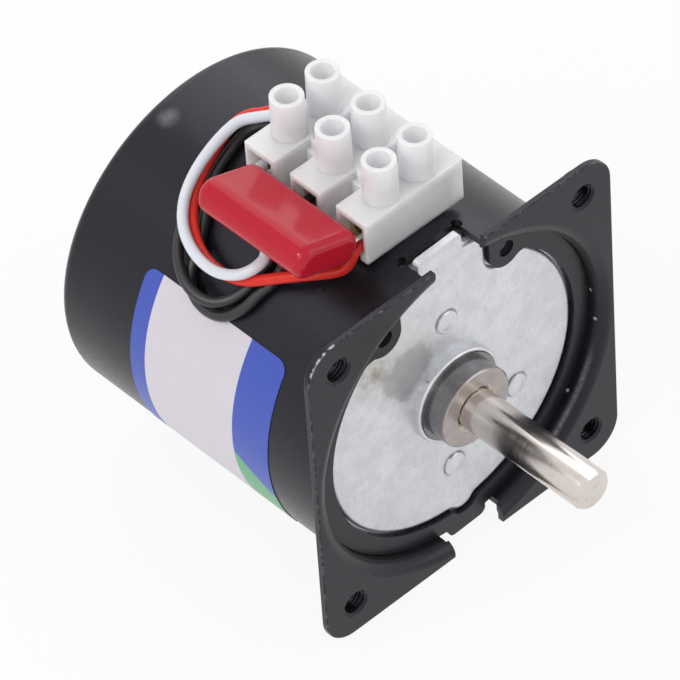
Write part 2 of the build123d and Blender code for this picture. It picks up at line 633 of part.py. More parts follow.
def terminal_block():
    """Moulded three-pole block: open-ended poles, webs, fixing bosses and towers."""
    half, pole_half = BLOCK_WIDTH / 2, POLE_WIDTH / 2
    stations = pole_stations()
    body = block((-WEB_HALF, WEB_HALF), (stations[0], stations[-1]), (BLOCK_BASE, WEB_TOP))
    for y in stations:
        pole = block((-half, half), (y - pole_half, y + pole_half), (BLOCK_BASE, BLOCK_TOP))
        body += fillet(pole.edges().filter_by(Axis.Z), 0.3)
    for x, y in tower_points():
        tower = Plane(origin=(x, y, BLOCK_TOP)) * Circle(TOWER_ROOT_R)
        tip = Plane(origin=(x, y, TOWER_TOP)) * Circle(TOWER_TIP_R)
        body += loft(Sketch() + [tower, tip])
    bosses = [(0.0, (stations[i] + stations[i + 1]) / 2) for i in (0, 1)]
    for at in bosses:
        body += post(BLOCK_BOSS_R, BLOCK_BASE, BLOCK_TOP, at)
    saddle = (-half + FOOT_WIDTH, half - FOOT_WIDTH)
    body -= block(saddle, (0.0, CAN_LENGTH), (0.0, BLOCK_BASE)) & disc(CAN_R, 0.0, CAN_LENGTH)
    for y in stations:
        span = (y - CHANNEL_WIDTH / 2, y + CHANNEL_WIDTH / 2)
        body -= block((-half - 1, half + 1), span, (CHANNEL_FLOOR, CHANNEL_FLOOR + CHANNEL_HEIGHT))
        foot_gap = (y - pole_half + FOOT_WIDTH, y + pole_half - FOOT_WIDTH)
        body -= block((-half - 1, half + 1), foot_gap, (0.0, BLOCK_BASE + FOOT_HEIGHT))
    for at in tower_points():
        body -= post(TOWER_BORE_R, CHANNEL_FLOOR + 1.0, TOWER_TOP + 1.0, at)
    for at in bosses:
        body -= post(BLOCK_SCREW_R + SLIP, 0.0, BLOCK_TOP + 1.0, at)
    return body


def brass_insert(y):
    """Brass clamping tube of one pole, tapped from above for its two screws."""
    half, side = INSERT_LENGTH / 2, CHANNEL_WIDTH / 2 - RUNNING
    top = CHANNEL_FLOOR + CHANNEL_HEIGHT - RUNNING
    tube = block((-half, half), (y - side, y + side), (CHANNEL_FLOOR + RUNNING, top))
    centre = CHANNEL_FLOOR + CHANNEL_HEIGHT / 2
    tube -= Pos(0, y, centre) * Rot(0, 90, 0) * Cylinder(INSERT_BORE_R, BLOCK_WIDTH)
    for side_sign in (-1, 1):
        tube -= post(CLAMP_SCREW_R, centre, top + 1.0, at=(side_sign * TOWER_X, y))
    return tube


def clamp_screws():
    """The six slotted clamping screws down in the towers."""
    top = CHANNEL_FLOOR + CHANNEL_HEIGHT
    screws = []
    for at in tower_points():
        screw = post(CLAMP_SCREW_HEAD_R, top, CLAMP_SCREW_TOP, at)
        screw += post(CLAMP_SCREW_R, top - 2.2, top, at)
        slot = Pos(at[0], at[1], CLAMP_SCREW_TOP) * Rot(0, 0, 30.0 * at[1])
        screw -= slot * Box(2 * TOWER_BORE_R, SLOT_WIDTH, 2 * SLOT_DEPTH)
        screws.append(screw)
    return Compound(screws)


def block_screw():
    """Cross-slotted screw that holds the block on the can."""
    at = (0.0, screw_station())
    head_top = BLOCK_TOP + BLOCK_SCREW_HEAD
    head = post(BLOCK_SCREW_HEAD_R, BLOCK_TOP, head_top, at)
    head = fillet(head.faces().sort_by(Axis.Z)[-1].edges(), 0.7)
    for angle in (20.0, 110.0):
        slot = Pos(at[0], at[1], head_top) * Rot(0, 0, angle)
        head -= slot * Box(3.0, SLOT_WIDTH, 2 * SLOT_DEPTH)
    return head + post(BLOCK_SCREW_R, CAN_INNER_R - 0.5, BLOCK_TOP, at)


# ---------------------------------------------- capacitor, label, grommet, leads
def capacitor_frame():
    """Placement of the capacitor, which leans outwards from the block."""
    return Pos(*CAPACITOR_AT) * Rot(0, CAPACITOR_TILT, 0)


def capacitor_lead_points():
    """Where the capacitor's two wires run, as (y, z)."""
    return [(CAPACITOR_AT[1] + side * CAPACITOR_PITCH / 2, CAPACITOR_LEAD_HEIGHT) for side in (-1, 1)]


def capacitor_lead(y, z):
    """One stiff wire from inside the capacitor's dipped body to its brass insert."""
    start, end = CAPACITOR_AT[0] + 3.0, -INSERT_LENGTH / 2
    return Pos((start + end) / 2, y, z) * Rot(0, 90, 0) * Cylinder(CAPACITOR_LEAD_R, end - start)


def capacitor():
    """Dipped film capacitor: a soft-edged block with a pocket for each wire."""
    body = Box(*CAPACITOR_SIZE)
    body = fillet(body.edges().filter_by(Axis.Y), CAPACITOR_SIDE_R)
    for end in (0, -1):
        body = fillet(body.faces().sort_by(Axis.Y)[end].edges(), CAPACITOR_END_R)
    body = capacitor_frame() * body
    for y, z in capacitor_lead_points():
        body -= capacitor_lead(y, z)
    return body


def rating_label():
    """Thin label round the -X side of the can."""
    inner = CAN_R + LABEL_GAP
    strip = Pos(inner + LABEL_THICKNESS / 2, (LABEL_FRONT + LABEL_REAR) / 2) * Rectangle(
        LABEL_THICKNESS, LABEL_REAR - LABEL_FRONT
    )
    sheet = revolve(strip, axis=Axis.Y, revolution_arc=LABEL_SWEEP)
    corners = [e for e in sheet.edges() if e.length < 2 * LABEL_THICKNESS]
    sheet = fillet(corners, LABEL_CORNER_R)
    return Rot(0, -(90.0 + LABEL_TOP_ANGLE + LABEL_SWEEP), 0) * sheet


def grommet_pockets():
    """Where the four leads enter the grommet, as (x, y)."""
    x, y = GROMMET_AT
    steps = [(-1, 0), (1, 0), (0, -1), (0, 1)]
    return [(x + sx * GROMMET_POCKET_R, y + sy * GROMMET_POCKET_R) for sx, sy in steps]


def lead_grommet():
    """Rubber grommet with a flange outside the can and one pocket for each lead."""
    grommet = post(GROMMET_NECK_R, CAN_INNER_R - SLIP, CAN_R + 0.5, GROMMET_AT)
    flange = post(GROMMET_R, CAN_R - 1.5, GROMMET_TOP, GROMMET_AT)
    flange = fillet(flange.faces().sort_by(Axis.Z)[-1].edges(), 0.6)
    grommet += flange - disc(CAN_R + RUNNING, 0.0, CAN_LENGTH)
    for at in grommet_pockets():
        grommet -= post(LEAD_DIAMETER / 2, GROMMET_SEAT, GROMMET_TOP + 1.0, at)
    return grommet


def route_radii(points):
    """The bend radius at each inner point: 0.45 of the shorter run over tan(half turn)."""
    radii = []
    for before, here, after in zip(points, points[1:], points[2:]):
        first, second = Vector(*here) - Vector(*before), Vector(*after) - Vector(*here)
        shorter = min(first.length, second.length)
        radii.append(0.45 * shorter / tan(radians(first.get_angle(second)) / 2))
    return radii


def over_can(points):
    """A route at its heights above the can's wall, whatever the can's radius."""
    placed = []
    for x, y, z in points:
        clear = hypot(x, z) - ROUTE_CAN_R
        placed.append((x, y, sqrt((CAN_R + clear) ** 2 - x ** 2)))
    return placed


def lead(route):
    """One insulated lead along its route."""
    points = over_can(route)
    radii = route_radii(points)
    path = FilletPolyline(*points, radius=radii)
    tube = sweep(Plane(origin=path @ 0, z_dir=path % 0) * Circle(LEAD_DIAMETER / 2), path=path)
    ideal = pi * LEAD_DIAMETER ** 2 / 4 * path.length
    print("lead radii", [round(r, 1) for r in radii], "length", round(path.length, 1),
          "volume ratio", round(tube.volume / ideal, 4))
    return tube


# ------------------------------------------------------------------------- parts
def gearing():
    """Every gear in the train, from the rotor's pinion to the output wheel."""
    centre = (0.0, 0.0)
    top, right, low = spindle_points()
    parts = {}
    gears = {
        "first": staged_gear(top, centre, centre, 4, 3, FAST_PINION_TEETH),
        "idler": idler_gear(top, low),
        "third": staged_gear(low, centre, right, 2, 1, FAST_PINION_TEETH),
        "fourth": staged_gear(right, low, centre, 1, 0, SLOW_PINION_TEETH),
    }
    for name, (gear_wheel, gear_pinion) in gears.items():
        parts[f"{name}_wheel"], parts[f"{name}_pinion"] = gear_wheel, gear_pinion
    parts["output_wheel"] = output_wheel(right)
    return parts


def rotor():
    """The permanent-magnet rotor and the pinion at the front of its shaft."""
    front, rear = stator_station() + 1.5, bearing_plate_station() - 3.4
    pinion_front, pinion_rear = level(4)
    shaft_rear = CAN_LENGTH - SHEET - 2 * SLIP
    pinion_teeth = pinion(FAST_PINION_TEETH, (0.0, 0.0), spindle_points()[0], pinion_front, pinion_rear)
    return {
        "rotor_magnet": ring(ROTOR_R, ROTOR_R - MAGNET_WALL, front, rear),
        "rotor_hub": rotor_hub(front, rear),
        "rotor_shaft": disc(ROTOR_SHAFT_R, pinion_front, shaft_rear),
        "rotor_pinion": pinion_teeth - disc(ROTOR_SHAFT_R, 0.0, CAN_LENGTH),
    }


def motor():
    """The two stator phases and the rotor's bushes."""
    parts = {}
    for number in (1, 2):
        front = stator_station() + (number - 1) * (stack_length() + SLIP)
        plates, bobbin, coil = stator_stack(front)
        for letter, plate in zip("ab", plates):
            parts[f"pole_plate_{number}{letter}"] = plate
        parts[f"coil_bobbin_{number}"] = bobbin
        parts[f"coil_winding_{number}"] = coil
    parts["rear_bearing_plate"] = bearing_plate()
    floor = cup_floor_station()
    parts["front_rotor_bush"] = rotor_bush(floor - 0.4, floor + CUP_FLOOR + 0.8)
    rear = CAN_LENGTH - SHEET - SLIP
    parts["rear_rotor_bush"] = rotor_bush(rear - 3.7, rear)
    return parts


def build():
    """Every sub-part by its node name."""
    parts = {
        "motor_can": motor_can(),
        "front_ring": front_ring(),
        "gearbox_cover": gearbox_cover(),
        "gearbox_cup": gearbox_cup(),
        "gear_spindles": gear_spindles(),
        "output_bush": output_bush(),
        "output_shaft": output_shaft(),
        "thrust_washer": thrust_washer(),
        "terminal_block": terminal_block(),
        "clamp_screws": clamp_screws(),
        "block_screw": block_screw(),
        "capacitor": capacitor(),
        "rating_label": rating_label(),
        "lead_grommet": lead_grommet(),
        "white_lead": lead(WHITE_ROUTE),
        "red_lead": lead(RED_ROUTE),
        "black_lead_1": lead(BLACK_ROUTE_1),
        "black_lead_2": lead(BLACK_ROUTE_2),
    }
    for number, y in enumerate(pole_stations(), start=1):
        parts[f"brass_insert_{number}"] = brass_insert(y)
    for number, (y, z) in enumerate(capacitor_lead_points(), start=1):
        parts[f"capacitor_wire_{number}"] = capacitor_lead(y, z)
    parts.update(gearing())
    parts.update(rotor())
    parts.update(motor())
    return parts


os.makedirs("parts", exist_ok=True)
for node, shape in build().items():
    export_step(shape, f"parts/{node}.step")
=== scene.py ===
"""Visual model of a synchronous gear motor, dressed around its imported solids."""

import json
import logging
import math
from dataclasses import dataclass, field, replace
from enum import Enum
from typing import ClassVar

import bmesh
import bpy
from mathutils import Matrix, Vector


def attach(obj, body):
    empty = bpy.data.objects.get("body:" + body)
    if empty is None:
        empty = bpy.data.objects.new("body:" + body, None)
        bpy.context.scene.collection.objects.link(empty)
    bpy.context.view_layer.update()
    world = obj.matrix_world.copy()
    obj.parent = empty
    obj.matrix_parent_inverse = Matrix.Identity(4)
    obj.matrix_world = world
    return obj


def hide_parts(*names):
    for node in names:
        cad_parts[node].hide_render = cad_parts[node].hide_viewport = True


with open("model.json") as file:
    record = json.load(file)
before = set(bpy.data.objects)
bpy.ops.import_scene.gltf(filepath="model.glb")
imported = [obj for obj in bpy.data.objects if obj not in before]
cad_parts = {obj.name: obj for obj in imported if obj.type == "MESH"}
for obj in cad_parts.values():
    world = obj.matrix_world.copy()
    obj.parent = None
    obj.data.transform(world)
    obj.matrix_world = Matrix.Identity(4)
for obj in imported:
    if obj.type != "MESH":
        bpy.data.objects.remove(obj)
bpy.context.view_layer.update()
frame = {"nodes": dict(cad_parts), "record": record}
LOG = logging.getLogger("gear_motor")
MM = 0.001

Pair = tuple[float, float]
Colour = tuple[float, float, float]
Point = tuple[float, float, float]
Socket = bpy.types.NodeSocket
Tree = bpy.types.NodeTree
Value = Socket | float
Tint = Socket | Colour


class Pattern(Enum):
    """Kinds of procedural pattern that a graph can place."""

    NOISE = "ShaderNodeTexNoise"
    CELLS = "ShaderNodeTexVoronoi"
    WAVES = "ShaderNodeTexWave"


def add_object(name: str, data: bpy.types.ID) -> bpy.types.Object:
    """Put some data in the scene as an object.

    Args:
        name: The object's name.
        data: Its mesh, curve, lamp or camera.

    Returns:
        The new object.
    """
    made = bpy.data.objects.new(name, data)
    bpy.context.scene.collection.objects.link(made)
    return made


def add_mesh(name: str, work: bmesh.types.BMesh) -> bpy.types.Object:
    """Put a finished bmesh in the scene as an object, and free it.

    Args:
        name: The object's name.
        work: Its shape.

    Returns:
        The new object.
    """
    mesh = bpy.data.meshes.new(name)
    work.to_mesh(mesh)
    work.free()
    return add_object(name, mesh)


# -------------------- node graphs
class Graph:
    """Small builder for the nodes of one material or node group."""

    def __init__(self, tree: Tree) -> None:
        """Work on one node tree."""
        self.tree = tree

    def node(self, kind: str, inputs: dict | None = None, **settings: object) -> bpy.types.Node:
        """Add a node, set its properties and fill its inputs.

        Args:
            kind: Blender's node type.
            inputs: Values or sockets for the inputs, by name or number.
            **settings: Properties of the node itself.

        Returns:
            The new node.
        """
        made = self.tree.nodes.new(kind)
        for name, value in settings.items():
            setattr(made, name, value)
        for key, value in (inputs or {}).items():
            if isinstance(value, Socket):
                self.tree.links.new(value, made.inputs[key])
            else:
                made.inputs[key].default_value = value
        return made

    def place(self) -> Socket:
        """Object coordinates in millimetres."""
        found = self.node("ShaderNodeTexCoord").outputs["Object"]
        return self.stretch(found, (1 / MM, 1 / MM, 1 / MM))

    def stretch(self, vector: Socket, scale: Point, turn: Point = (0.0, 0.0, 0.0)) -> Socket:
        """A vector scaled and turned, in radians, so that a pattern on it is drawn out."""
        made = self.node("ShaderNodeMapping", {"Vector": vector, "Rotation": turn, "Scale": scale})
        return made.outputs["Vector"]

    def split(self, vector: Socket) -> tuple[Socket, Socket, Socket]:
        """The X, Y and Z of a vector."""
        return tuple(self.node("ShaderNodeSeparateXYZ", {0: vector}).outputs)

    def join(self, x: Value, y: Value, z: Value = 0.0) -> Socket:
        """A vector from its X, Y and Z."""
        return self.node("ShaderNodeCombineXYZ", {0: x, 1: y, 2: z}).outputs[0]

    def measure(self, operation: str, *vectors: Socket) -> Socket:
        """A length or a distance, as one number."""
        made = self.node("ShaderNodeVectorMath", dict(enumerate(vectors)), operation=operation)
        return made.outputs["Value"]

    def math(self, operation: str, *values: Value) -> Socket:
        """One arithmetic step, by Blender's name for it."""
        return self.node("ShaderNodeMath", dict(enumerate(values)), operation=operation).outputs[0]

    def times(self, first: Value, *others: Value) -> Socket:
        """The product of two or more values.

        Args:
            first: The first factor.
            *others: The other factors.

        Returns:
            The value socket.
        """
        for other in others:
            first = self.math("MULTIPLY", first, other)
        return first

    def ramp(self, value: Value, low: Value, high: Value, start: float = 0.0, end: float = 1.0,
             smooth: bool = True) -> Socket:
        """Map a range on another, clamped at both ends.

        Args:
            value: The socket to map.
            low: Where the result starts to change.
            high: Where the result stops changing.
            start: Result at and below low.
            end: Result at and above high.
            smooth: Whether both ends are eased.

        Returns:
            The value socket.
        """
        kind = "SMOOTHSTEP" if smooth else "LINEAR"
        made = self.node("ShaderNodeMapRange", {0: value, 1: low, 2: high, 3: start, 4: end},
                         interpolation_type=kind)
        return made.outputs[0]

    def noise(self, vector: Socket, scale: Value, detail: float = 3.0,
              rough: float = 0.5) -> Socket:
        """Fractal noise, 0 to 1: turns per mm, number of finer layers and their share."""
        inputs = {"Vector": vector, "Scale": scale, "Detail": detail, "Roughness": rough}
        return self.node(Pattern.NOISE.value, inputs).outputs[0]

    def mix(self, amount: Value, first: Tint, second: Tint) -> Socket:
        """Lay a second colour over a first one.

        Args:
            amount: Share of the second colour.
            first: The colour underneath.
            second: The colour on top.

        Returns:
            The colour socket.
        """
        # A mix node takes colours at 6 and 7 and gives a colour at 2.
        under, over = ((*tint, 1.0) if isinstance(tint, tuple) else tint
                       for tint in (first, second))
        made = self.node("ShaderNodeMix", {0: amount, 6: under, 7: over}, data_type="RGBA")
        return made.outputs[2]

    def bump(self, height: Socket, strength: float, distance: float) -> Socket:
        """A normal from a height pattern: the share that shows and its height in metres."""
        inputs = {"Height": height, "Strength": strength, "Distance": distance}
        return self.node("ShaderNodeBump", inputs).outputs[0]

    def effect(self, tree: Tree, vector: Socket, **values: float) -> Socket:
        """Place a shared effect.

        Args:
            tree: The effect's node group.
            vector: Where the effect reads its place from, in millimetres.
            **values: The effect's own inputs.

        Returns:
            The effect's output.
        """
        made = self.node("ShaderNodeGroup", node_tree=tree)
        self.tree.links.new(vector, made.inputs["Vector"])
        for label, value in values.items():
            made.inputs[label].default_value = value
        return made.outputs[0]


# -------------------- shared effects
def open_group(name: str, output: str, **inputs: float) -> tuple[Graph, dict[str, Socket]]:
    """Start a shader node group with a place, some values and one output.

    Args:
        name: The group's name.
        output: The name of its output.
        **inputs: Its value inputs with their defaults.

    Returns:
        A graph on the group and its input sockets by name.
    """
    tree = bpy.data.node_groups.new(name, "ShaderNodeTree")
    tree.interface.new_socket("Vector", in_out="INPUT", socket_type="NodeSocketVector")
    for label, value in inputs.items():
        made = tree.interface.new_socket(label, in_out="INPUT", socket_type="NodeSocketFloat")
        made.default_value = value
    tree.interface.new_socket(output, in_out="OUTPUT", socket_type="NodeSocketFloat")
    graph = Graph(tree)
    entry = graph.node("NodeGroupInput")
    return graph, {socket.name: socket for socket in entry.outputs if socket.name}


def close_group(graph: Graph, result: Socket) -> Tree:
    """Wire a group's result to its only output and give back the group."""
    graph.node("NodeGroupOutput", {0: result})
    return graph.tree


@dataclass(frozen=True)
class Effects:
    """The surface effects that several finishes share, each a node group."""

    SPECK_CORE: ClassVar[float] = 0.5
    FINER: ClassVar[float] = 9.0
    DRIFT_BAND: ClassVar[Pair] = (0.3, 0.7)
    HAIRLINES: ClassVar[tuple[tuple[Point, float], ...]] = (
        ((0.6, 0.42, 0.6), 24.0), ((-0.9, -0.63, -0.9), 30.0))
    HAIRLINE_BAND: ClassVar[Pair] = (0.66, 0.72)
    HAIRLINE_DETAIL: ClassVar[float] = 2.0

    specks: Tree
    drift: Tree
    scratches: Tree
    halo: Tree
    spot: Tree

    @classmethod
    def make(cls) -> "Effects":
        """Build each effect once."""
        return cls(cls._specks(), cls._drift(), cls._scratches(), cls._halo(), cls._spot())

    @classmethod
    def _specks(cls) -> Tree:
        """Small round grains or pores: Scale is grains per mm, Share how many of them show.

        Returns:
            The node group.
        """
        graph, given = open_group("specks", "Mask", Scale=1.0, Share=0.1, Size=0.2)
        inputs = {"Vector": given["Vector"], "Scale": given["Scale"]}
        cells = graph.node(Pattern.CELLS.value, inputs)
        chosen = graph.math("LESS_THAN", cells.outputs["Color"], given["Share"])
        core = graph.times(given["Size"], cls.SPECK_CORE)
        grain = graph.ramp(cells.outputs["Distance"], core, given["Size"], 1.0, 0.0, smooth=False)
        return close_group(graph, graph.times(chosen, grain))

    @classmethod
    def _drift(cls) -> Tree:
        """Slow unevenness with a share of finer unevenness, 0 to 1.

        Returns:
            The node group.
        """
        graph, given = open_group("drift", "Value", Scale=0.1, Fine=0.4)
        slow = graph.noise(given["Vector"], given["Scale"])
        quick = graph.noise(given["Vector"], graph.times(given["Scale"], cls.FINER))
        # A mix node takes plain values at 2 and 3.
        both = graph.node("ShaderNodeMix", {0: given["Fine"], 2: slow, 3: quick}, data_type="FLOAT")
        return close_group(graph, graph.ramp(both.outputs[0], *cls.DRIFT_BAND))

    @classmethod
    def _scratches(cls) -> Tree:
        """Thin hairlines in two directions, 0 to 1.

        Returns:
            The node group.
        """
        graph, given = open_group("scratches", "Mask", Scale=0.3, Share=0.5)
        lines = []
        for turn, drawn_out in cls.HAIRLINES:
            laid = graph.stretch(given["Vector"], (1.0, drawn_out, 1.0), turn)
            made = graph.noise(laid, given["Scale"], cls.HAIRLINE_DETAIL)
            lines.append(graph.ramp(made, *cls.HAIRLINE_BAND))
        return close_group(graph, graph.times(graph.math("MAXIMUM", *lines), given["Share"]))

    @staticmethod
    def _halo() -> Tree:
        """A ring about the shaft axis: 1 at Radius, falling to 0 over Width either side.

        Returns:
            The node group.
        """
        graph, given = open_group("halo", "Mask", Radius=8.0, Width=1.0)
        across, _, up = graph.split(given["Vector"])
        distance = graph.measure("LENGTH", graph.join(across, up))
        away = graph.math("ABSOLUTE", graph.math("SUBTRACT", distance, given["Radius"]))
        share = graph.math("DIVIDE", away, given["Width"])
        return close_group(graph, graph.ramp(share, 0.0, 1.0, 1.0, 0.0))

    @staticmethod
    def _spot() -> Tree:
        """A round patch: 1 at the place X, Y, Z, falling to 0 at Radius from it.

        Returns:
            The node group.
        """
        graph, given = open_group("spot", "Mask", X=0.0, Y=0.0, Z=0.0, Radius=1.0)
        centre = graph.join(given["X"], given["Y"], given["Z"])
        gap = graph.measure("DISTANCE", given["Vector"], centre)
        share = graph.math("DIVIDE", gap, given["Radius"])
        return close_group(graph, graph.ramp(share, 0.0, 1.0, 1.0, 0.0))


EFFECTS = Effects.make()


@dataclass(frozen=True)
class Patches:
    """Patches of fractal noise, cut between two levels."""

    scale: float
    cut: Pair
    detail: float = 3.0
    rough: float = 0.5
    least: float = 0.0

    def lay(self, graph: Graph, place: Socket) -> Socket:
        """From least outside the patches to 1 inside them."""
        made = graph.noise(place, self.scale, self.detail, self.rough)
        return graph.ramp(made, *self.cut, self.least, 1.0)


@dataclass(frozen=True)
class Spot:
    """A round place on the motor, in millimetres."""

    at: Point
    radius: float

    def lay(self, graph: Graph, place: Socket) -> Socket:
        """From 1 in the middle to 0 at the radius."""
        x, y, z = self.at
        return graph.effect(EFFECTS.spot, place, X=x, Y=y, Z=z, Radius=self.radius)


@dataclass(frozen=True)
class Specks:
    """Grains or pores: how many per millimetre, the share that shows and their size."""

    scale: float
    share: float
    size: float

    def lay(self, graph: Graph, place: Socket) -> Socket:
        """From 0 between the grains to 1 on them."""
        return graph.effect(EFFECTS.specks, place, Scale=self.scale, Share=self.share,
                            Size=self.size)


# -------------------- finishes
@dataclass(frozen=True)
class Finish:
    """A finish with one main colour, shared effects and its own shader values."""

    RELIEF_BAND: ClassVar[Pair] = (0.2, 0.8)
    RELIEF_STRENGTH: ClassVar[float] = 0.6
    GRAIN_DETAIL: ClassVar[float] = 4.0
    GRAIN_ROUGH: ClassVar[float] = 0.6
    COAT_ROUGHNESS: ClassVar[float] = 0.08

    name: str
    colour: Colour
    roughness: float
    metallic: float = 0.0
    coat: float = 0.0
    subsurface: float = 0.0
    specular: float = 0.5
    specular_tint: Colour = (1.0, 1.0, 1.0)
    scatter_mm: float = 1.5
    drift_scale: float = 0.12
    drift_amount: float = 0.25
    drift_colour: Colour = (0.0, 0.0, 0.0)
    grain_scale: float = 3.0
    grain_height: float = 0.01
    specks: Specks | None = None
    speck_colour: Colour = (0.6, 0.6, 0.6)
    scratch_share: float = 0.0
    roughness_spread: float = 0.12

    def start(self) -> tuple[bpy.types.Material, Graph, bpy.types.Node]:
        """Make the material and its shader with the constants on its sockets.

        Returns:
            The material, a graph on its tree and the shader node.
        """
        material = bpy.data.materials.new(self.name)
        material.use_nodes = True
        material.diffuse_color = (*self.colour, 1.0)
        shader = material.node_tree.nodes["Principled BSDF"]
        constants = {
            "Metallic": self.metallic, "Coat Weight": self.coat,
            "Coat Roughness": self.COAT_ROUGHNESS, "Subsurface Weight": self.subsurface,
            "Subsurface Scale": self.scatter_mm * MM, "Subsurface Radius": (1.0, 1.0, 1.0),
            "Specular IOR Level": self.specular, "Specular Tint": (*self.specular_tint, 1.0),
        }
        for label, value in constants.items():
            shader.inputs[label].default_value = value
        return material, Graph(material.node_tree), shader

    def colour_of(self, graph: Graph, place: Socket) -> Socket:
        """Main colour with its drift and specks.

        Args:
            graph: The material's graph.
            place: Object coordinates in millimetres.

        Returns:
            The colour socket.
        """
        uneven = graph.effect(EFFECTS.drift, place, Scale=self.drift_scale)
        colour = graph.mix(graph.times(uneven, self.drift_amount), self.colour, self.drift_colour)
        if self.specks:
            colour = graph.mix(self.specks.lay(graph, place), colour, self.speck_colour)
        return colour

    def relief_of(self, graph: Graph, place: Socket) -> Socket:
        """Height pattern of the surface.

        Args:
            graph: The material's graph.
            place: Object coordinates in millimetres.

        Returns:
            The value socket, 0 to 1.
        """
        height = graph.noise(place, self.grain_scale, self.GRAIN_DETAIL, self.GRAIN_ROUGH)
        if self.scratch_share:
            lines = graph.effect(EFFECTS.scratches, place, Share=self.scratch_share)
            height = graph.math("SUBTRACT", height, lines)
        return height

    def build(self) -> bpy.types.Material:
        """Build the whole material.

        Returns:
            The finished material.
        """
        material, graph, shader = self.start()
        place = graph.place()
        relief = self.relief_of(graph, place)
        half = self.roughness_spread / 2
        rough = graph.ramp(relief, *self.RELIEF_BAND, self.roughness - half, self.roughness + half)
        normal = graph.bump(relief, self.RELIEF_STRENGTH, self.grain_height * MM)
        graph.tree.links.new(self.colour_of(graph, place), shader.inputs["Base Color"])
        graph.tree.links.new(rough, shader.inputs["Roughness"])
        graph.tree.links.new(normal, shader.inputs["Normal"])
        return material


@dataclass(frozen=True)
class PaintedSteel(Finish):
    """Black paint, rubbed along the flange's edges, with painted glints on one corner, wear and
    painted sheen along the can's mouth, a painted highlight near the rear rim and a few chips.
    """

    corner_centre: float = 25.9
    corner_r: float = 5.5
    edge_inset: Pair = (0.34, 0.06)
    edge_depth: Pair = (0.1, 0.4)
    wear: Colour = (0.13, 0.13, 0.135)
    wear_patches: Patches = Patches(0.7, (0.46, 0.66), 5.0, 0.75)
    # Painted glints: pale patches on the flange's rounded edge near one corner, standing in for a
    # lamp's reflection.
    painted_glint: Colour = (0.62, 0.62, 0.64)
    painted_glint_corner: Spot = Spot((-28.6, 0.2, 30.2), 4.6)
    painted_glint_reach: float = 0.4
    painted_glint_patches: Patches = Patches(1.1, (0.42, 0.56), 3.0, 0.6)
    # Wear with painted sheen: a speckled pale line where the flange bends into the mouth, on the
    # lower right.
    rub_and_sheen: Colour = (0.17, 0.17, 0.175)
    rub_sheen_r: float = 28.9
    rub_sheen_width: float = 0.5
    rub_sheen_depth: Pair = (1.2, 2.0)
    rub_sheen_side: Spot = Spot((22.0, 0.5, -18.6), 14.0)
    rub_sheen_reach: float = 0.5
    rub_sheen_patches: Patches = Patches(3.2, (0.36, 0.6), 4.0, 0.7, 0.3)
    # Painted highlight: a soft pale patch on the can near its rear rim, standing in for a lamp's
    # reflection.
    painted_highlight: Colour = (0.16, 0.15, 0.155)
    painted_highlight_spot: Spot = Spot((-8.2, 56.0, 28.8), 2.5)
    chip: Colour = (0.85, 0.85, 0.85)
    chips: tuple[Spot, ...] = (Spot((28.8, 2.5, 1.7), 0.45), Spot((23.4, 2.8, -16.8), 0.45),
                               Spot((28.6, 1.6, -3.9), 0.45))
    tears: Patches = Patches(0.9, (0.35, 0.6), 3.0, 0.6, 0.35)

    def colour_of(self, graph: Graph, place: Socket) -> Socket:
        """Paint colour, worn in places, with painted glints, painted sheen and a painted highlight
        laid on it.

        Args:
            graph: The material's graph.
            place: Object coordinates in millimetres.

        Returns:
            The colour socket.
        """
        colour = super().colour_of(graph, place)
        edge = self._edge(graph, place)
        worn = graph.times(edge, self.wear_patches.lay(graph, place))
        colour = graph.mix(worn, colour, self.wear)
        # Painted glints on the flange's edge near the corner.
        near_corner = graph.ramp(self.painted_glint_corner.lay(graph, place), 0.0, self.painted_glint_reach)
        glinting = graph.times(edge, self.painted_glint_patches.lay(graph, place), near_corner)
        colour = graph.mix(glinting, colour, self.painted_glint)
        # Wear and painted sheen along the can's mouth.
        colour = graph.mix(self._mouth_rub_and_sheen(graph, place), colour, self.rub_and_sheen)
        # Lay the painted highlight near the can's rear rim.
        colour = graph.mix(self._ragged(graph, place, self.painted_highlight_spot), colour, self.painted_highlight)
        for spot in self.chips:
            colour = graph.mix(self._ragged(graph, place, spot), colour, self.chip)
        return colour

    def _edge(self, graph: Graph, place: Socket) -> Socket:
        """The flange's rounded outline on its front side.

        Args:
            graph: The material's graph.
            place: Object coordinates in millimetres.

        Returns:
            The value socket, 0 to 1.
        """
        across, depth, up = graph.split(place)
        beyond = []
        for side in (across, up):
            past = graph.math("SUBTRACT", graph.math("ABSOLUTE", side), self.corner_centre)
            beyond.append(graph.math("MAXIMUM", past, 0.0))
        out = graph.measure("LENGTH", graph.join(*beyond))
        rim = graph.ramp(out, *(self.corner_r - inset for inset in self.edge_inset))
        return graph.times(rim, graph.ramp(depth, *self.edge_depth, 1.0, 0.0))

    def _mouth_rub_and_sheen(self, graph: Graph, place: Socket) -> Socket:
        """A speckled line of wear and painted sheen where the flange bends into the can's mouth.

        Args:
            graph: The material's graph.
            place: Object coordinates in millimetres.

        Returns:
            The value socket, 0 to 1.
        """
        line = graph.effect(EFFECTS.halo, place, Radius=self.rub_sheen_r, Width=self.rub_sheen_width)
        grains = self.rub_sheen_patches.lay(graph, place)
        forward = graph.ramp(graph.split(place)[1], *self.rub_sheen_depth, 1.0, 0.0)
        side = graph.ramp(self.rub_sheen_side.lay(graph, place), 0.0, self.rub_sheen_reach)
        return graph.times(line, grains, forward, side)

    def _ragged(self, graph: Graph, place: Socket, spot: Spot) -> Socket:
        """A patch with a torn outline, 0 to 1, whose tears grow with its radius."""
        tears = replace(self.tears, scale=self.tears.scale / spot.radius)
        return graph.times(spot.lay(graph, place), tears.lay(graph, place))


